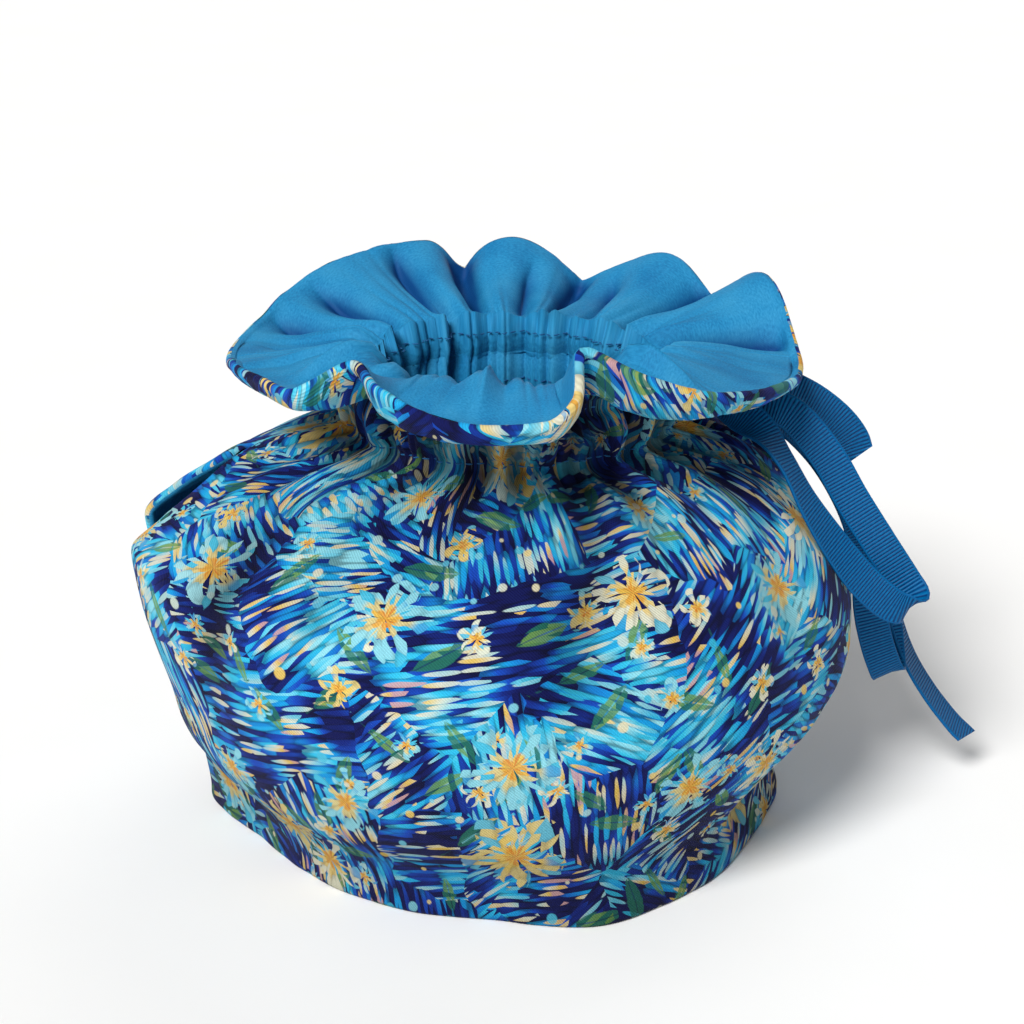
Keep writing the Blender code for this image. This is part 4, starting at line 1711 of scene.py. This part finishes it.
@dataclass(frozen=True)
class ChannelStitching:
    """Running stitches along both channel seams, outside and inside, of one half."""

    form: CosyForm
    half: Half
    length: float = 2.3
    gap: float = 0.9
    radius: float = 0.24
    sunk_outside: float = 0.95
    sunk_inside: float = 2.25
    side_margin: float = 1.0
    end_lift: float = 0.05
    arch: float = 0.2
    end_share: float = 0.15
    line_samples: int = 3000
    rings: int = 6
    sides: int = 8

    def build(self, finish: bpy.types.Material) -> bpy.types.Object:
        """Builds and dresses the stitches of this half.

        Args:
            finish: Their material.

        Returns:
            The piece.
        """
        points, faces, cut = [], [], []
        total = 0
        for row in (self.form.lower_seam_row, self.form.upper_seam_row):
            for inset, outward in ((self.sunk_outside, 1.0), (self.sunk_inside, -1.0)):
                tubes, places = self._stitches(row, inset, outward)
                for tube, place in zip(tubes, places, strict=True):
                    points.append(tube.reshape(-1, 3))
                    cut.append(place.reshape(-1, 2))
                    faces.append(grid_faces(self.rings, self.sides, closed=True) + total)
                    total += self.rings * self.sides
        name = f"{self.half.name.lower()}_stitching"
        corners = placed(np.concatenate(points))
        piece = mesh_object(name, corners, np.concatenate(faces), np.concatenate(cut))
        piece.data.materials.append(finish)
        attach(piece, ONLY_BODY)
        return piece

    def _stitches(self, row: float, inset: float, outward: float) -> tuple[Numbers, Numbers]:
        """Rings of points of every stitch on one line.

        Args:
            row: The seam's row.
            inset: How far in from the outer face the line lies.
            outward: 1 on the outer face and -1 on the inner one.

        Returns:
            Points and their places in the thread's own map.
        """
        first, last = self.side_margin, HALF_TURN - self.side_margin
        angles = self.half.value + np.linspace(first, last, self.line_samples)
        rows = np.full(len(angles), row)
        face, normal = self.form.faces_at(rows, angles)
        lead = 0.0 if outward > 0 else CosyCloth.lining_lead
        line = face - normal * (inset - outward * self.form.puffs(rows, angles, lead))[:, None]
        run = run_length(line)
        pitch = self.length + self.gap
        starts = np.arange(0.0, run[-1] - pitch, pitch)
        share = np.linspace(0.0, 1.0, self.rings)
        at = starts[:, None] + share * self.length
        centre = np.stack([np.interp(at, run, line[:, k]) for k in range(3)], -1)
        lift = unit(np.stack([np.interp(at, run, normal[:, k]) for k in range(3)], -1)) * outward
        swell = np.sin(share * math.pi)
        centre = centre + lift * (self.end_lift + self.arch * swell)[None, :, None]
        along = unit(np.gradient(centre, axis=1))
        across = unit(np.cross(along, lift))
        turn = np.arange(self.sides) * 2 * math.pi / self.sides
        thick = self.radius * (self.end_share + (1 - self.end_share) * np.sqrt(swell))
        outwards = np.cross(across, along)
        ring = across[:, :, None] * np.cos(turn)[:, None] + outwards[:, :, None] * np.sin(turn)[:, None]
        tubes = centre[:, :, None] + ring * thick[None, :, None, None]
        place = np.stack(np.broadcast_arrays((turn * self.radius)[None, None, :], at[:, :, None]), -1)
        return tubes, place * MM


# Ribbon


@dataclass(frozen=True)
class RibbonStrand:
    """One visible run of the ribbon, pinched where it goes into the knot."""

    name: str
    table: Table
    slant: float
    both_ends_held: bool
    width: float = 10.0
    thickness: float = 0.7
    selvedge: float = 0.25
    pitch: float = 1.0
    pinch: float = 0.42
    pinch_reach: float = 16.0
    cup: float = 1.5
    slant_reach: float = 9.0
    selvedge_span: tuple[float, float] = (0.86, 0.94)
    edge_from: float = 0.97
    edge_thinning: float = 0.8
    across_count: int = 15

    def build(self, finish: bpy.types.Material) -> tuple[bpy.types.Object, float]:
        """Builds and dresses the strand.

        Args:
            finish: Its material.

        Returns:
            The piece and its length in metres.
        """
        table = np.array(self.table)
        fine = through(table, np.linspace(0, len(table) - 1, 60 * len(table)))
        run = run_length(fine[:, :3])
        total = float(run[-1])
        lengths = np.linspace(0.0, total, int(total / self.pitch))
        path = np.stack([np.interp(lengths, run, fine[:, k]) for k in range(6)], -1)
        rings, cut = self._rings(path, lengths, total)
        sides = grid_faces(len(lengths), rings.shape[1], closed=True)
        faces = np.concatenate([sides, self._caps(len(lengths))])
        piece = mesh_object(self.name, placed(rings).reshape(-1, 3), faces, cut.reshape(-1, 2))
        piece.data.materials.append(finish)
        return piece, total * MM

    def _rings(self, path: Numbers, lengths: Numbers, total: float) -> tuple[Numbers, Numbers]:
        """Rings of points round the strand.

        Args:
            path: Position and width direction at each ring.
            lengths: Length along the strand at each ring.
            total: The strand's whole length.

        Returns:
            Points in millimetres and their places in the flat ribbon in metres.
        """
        share = np.sin(np.linspace(-1.0, 1.0, self.across_count) * math.pi / 2)
        lead = ease((lengths - total + self.slant_reach) / self.slant_reach)
        along = unit(np.gradient(path[:, :3], axis=0))
        side = unit(path[:, 3:] - along * (path[:, 3:] * along).sum(1, keepdims=True))
        normal = np.cross(side, along)
        near_knot = np.minimum(lengths, total - lengths) if self.both_ends_held else lengths
        held = 1 - ease(near_knot / self.pinch_reach)
        half = self.width / 2 * (1 - self.pinch * held)
        ripple = self.cup * held[:, None] * np.cos(share * math.pi * 1.5)
        forward = lead[:, None] * share * self.slant / 2
        starts, full = self.selvedge_span
        thick = self.thickness / 2 + self.selvedge / 2 * ease((np.abs(share) - starts) / (full - starts))
        edge = ease((np.abs(share) - self.edge_from) / (1 - self.edge_from))
        thick = thick * (1 - self.edge_thinning * edge)
        middle = path[:, None, :3] + side[:, None] * (half[:, None] * share)[..., None]
        middle = middle + along[:, None] * forward[..., None]
        top = middle + normal[:, None] * (ripple + thick)[..., None]
        under = middle + normal[:, None] * (ripple - thick)[..., None]
        cut_across = np.broadcast_to(self.width / 2 * share, forward.shape)
        cut = np.stack([cut_across, lengths[:, None] + forward], -1)
        rings = np.concatenate([top, under[:, ::-1]], axis=1)
        return rings, np.concatenate([cut, cut[:, ::-1]], axis=1) * MM

    def _caps(self, ring_count: int) -> Numbers:
        """Faces that close the two ends.

        Args:
            ring_count: How many rings the strand has.

        Returns:
            Four corner numbers a face.
        """
        size = 2 * self.across_count
        k = np.arange(self.across_count - 1)
        cap = np.stack([k, k + 1, size - 2 - k, size - 1 - k], -1)
        return np.concatenate([cap, cap[:, ::-1] + (ring_count - 1) * size])


@dataclass(frozen=True)
class RibbonBow:
    """The tied ribbon: two loops, two tails and the turn that knots them."""

    knot_centre: tuple[float, float, float] = (53.9, -0.6, 125.0)
    knot_half_width: float = 5.4
    knot_radii: tuple[float, float] = (6.2, 5.7)
    knot_rings: int = 41
    knot_sides: int = 72
    knot_cut_half_width: float = 4.2
    wrap_crease: float = 0.45
    long_tail_slant: float = 4.5
    short_tail_slant: float = -3.0

    def knot(self, finish: bpy.types.Material) -> bpy.types.Object:
        """The turn of ribbon round the middle, pulled tight.

        Args:
            finish: Its material.

        Returns:
            The piece.
        """
        share = np.sin(np.linspace(-1.0, 1.0, self.knot_rings) * math.pi / 2)
        turn = np.arange(self.knot_sides) * 2 * math.pi / self.knot_sides
        barrel = 0.25 * (1 - np.abs(share) ** 5.0) ** 0.5 + 0.75 * (1 - np.abs(share) ** 14) ** 0.5
        wraps = share[:, None] * 9.0 + 1.3 * np.sin(turn) + 0.6 * np.sin(2 * turn + 1.0)
        crease = self.wrap_crease * np.sin(wraps) * barrel[:, None]
        y = (self.knot_radii[0] * barrel[:, None] + crease) * np.cos(turn)
        z = (self.knot_radii[1] * barrel[:, None] + crease) * np.sin(turn)
        x = np.broadcast_to(self.knot_half_width * share[:, None] * (1 - 0.06 * np.sin(turn)), y.shape)
        points = np.stack([x, y, z], -1) + self.knot_centre
        round_way = np.broadcast_to(turn * sum(self.knot_radii) / 2, y.shape)
        across = np.broadcast_to(share[:, None] * self.knot_cut_half_width, y.shape)
        cut = np.stack([across, round_way], -1) * MM
        faces = grid_faces(len(share), len(turn), closed=True)
        piece = mesh_object("ribbon_knot", placed(points).reshape(-1, 3), faces, cut.reshape(-1, 2))
        piece.data.materials.append(finish)
        return piece

    def build(self, finish: bpy.types.Material) -> list[bpy.types.Object]:
        """Args:
            finish: Its material.

        Returns:
            Its pieces.
        """
        knot = self.knot(finish)
        strands = (
            RibbonStrand("near_loop", NEAR_LOOP, 0.0, True),
            RibbonStrand("far_loop", FAR_LOOP, 0.0, True),
            RibbonStrand("long_tail", LONG_TAIL, self.long_tail_slant, False),
            RibbonStrand("short_tail", SHORT_TAIL, self.short_tail_slant, False),
        )
        pieces = [knot]
        for strand in strands:
            piece, length = strand.build(finish)
            pieces.append(piece)
            on_it = [knot] if strand.name == "near_loop" else []
        for piece in pieces:
            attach(piece, ONLY_BODY)
            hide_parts("ribbon_tie")
        return pieces


# Surroundings


@dataclass(frozen=True)
class Lamp:
    """One soft distant light, aimed at the middle of the cosy."""

    name: str
    place: tuple[float, float, float]
    spread: float
    strength: float
    colour: Colour = (1.0, 1.0, 1.0)

    def hang(self, target: Vector) -> None:
        """Puts the light in the scene, aimed at a target.

        Args:
            target: Where it points.
        """
        data = bpy.data.lights.new(self.name, "SUN")
        data.angle = math.radians(self.spread)
        data.energy = self.strength
        data.color = self.colour
        lamp = bpy.data.objects.new(self.name, data)
        lamp.location = self.place
        lamp.rotation_euler = (target - Vector(self.place)).to_track_quat("-Z", "Y").to_euler()
        bpy.context.scene.collection.objects.link(lamp)


@dataclass(frozen=True)
class Studio:
    """Pale floor, soft light and the camera."""

    target: tuple[float, float, float] = (-0.0165, 0.001, 0.090)
    distance: float = 0.70
    elevation: float = 20.0
    lens: float = 85.0
    sensor: float = 36.0
    floor_side: float = 6.0
    sky_strength: float = 0.22
    horizon_strength: float = 0.95
    horizon_rise: tuple[float, float] = (0.1, 0.3)
    lamps: tuple[Lamp, ...] = (
        Lamp("key", (-0.5, -0.9, 1.05), 22.0, 3.7, (1.0, 0.99, 0.97)),
        Lamp("back_fill", (0.5, 1.1, 1.2), 40.0, 0.5),
    )

    def build(self, floor_finish: bpy.types.Material) -> None:
        """Makes the floor, the lights and the camera.

        Args:
            floor_finish: Material of the floor.
        """
        self._camera()
        half = self.floor_side / 2
        corners = np.array([(-half, -half, 0.0), (half, -half, 0.0), (half, half, 0.0), (-half, half, 0.0)])
        floor = mesh_object("floor", corners, np.array([[0, 1, 2, 3]]), corners[:, :2])
        floor.data.materials.append(floor_finish)
        world = bpy.data.worlds.new("studio_walls")
        world.use_nodes = True
        recipe = Recipe("studio_walls", world.node_tree)
        rise = recipe.parts(recipe.node("TexCoord", {}, {})[0])[2]
        share = recipe.step(rise, *self.horizon_rise)
        strength = self.horizon_strength + (self.sky_strength - self.horizon_strength) * share
        walls = recipe.node("Background", {}, {"Color": (1.0, 1.0, 1.0, 1.0), "Strength": strength})[0]
        recipe.node("OutputWorld", {}, {"Surface": walls})
        bpy.context.scene.world = world
        for lamp in self.lamps:
            lamp.hang(Vector(self.target))
        bpy.context.scene.view_settings.view_transform = "Standard"

    def _camera(self) -> None:
        """Places the camera as the photograph's."""
        angle = math.radians(self.elevation)
        back = Vector((0.0, -math.cos(angle), math.sin(angle)))
        data = bpy.data.cameras.new("camera")
        data.lens = self.lens
        data.sensor_width = self.sensor
        camera = bpy.data.objects.new("camera", data)
        camera.location = Vector(self.target) + back * self.distance
        camera.rotation_euler = (-back).to_track_quat("-Z", "Y").to_euler()
        bpy.context.scene.collection.objects.link(camera)
        bpy.context.scene.camera = camera


# Assembly


@dataclass(frozen=True)
class TeaCosy:
    """The whole cosy, one half after the other and then the bow."""

    form: CosyForm
    printed: bpy.types.Material
    lining: bpy.types.Material
    thread: bpy.types.Material
    ribbon: bpy.types.Material

    def build(self) -> list[bpy.types.Object]:
        """Builds every piece, in order.

        Returns:
            The pieces.
        """
        pieces: list[bpy.types.Object] = []
        for half in Half:
            pieces += self._half(half)
        return pieces + RibbonBow().build(self.ribbon)

    def _half(self, half: Half) -> list[bpy.types.Object]:
        """Both cloths and the stitching of one half.

        Args:
            half: Which half.

        Returns:
            Its pieces.
        """
        outer = CosyCloth(self.form, half, Layer.PRINT)
        inner = CosyCloth(self.form, half, Layer.LINING)
        panel = outer.build(self.printed)
        lining = inner.build(self.lining)
        stitching = ChannelStitching(self.form, half).build(self.thread)
        return [panel, lining, stitching]


def report(pieces: Sequence[bpy.types.Object]) -> None:
    """Logs each piece with its number of faces."""
    for piece in pieces:
        log.info("%s: %d faces", piece.name, len(piece.data.polygons))


def main() -> None:
    """Builds the studio and the cosy."""
    logging.basicConfig(level=logging.INFO, format="%(message)s")
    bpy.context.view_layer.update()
    Studio().build(PaleFloor().make())
    finishes = (FloralPrint().make(), PlainLining().make(), SewingThread().make(), Grosgrain().make())
    report(TeaCosy(CosyForm(), *finishes).build())


if __name__ == "__main__":
    main()
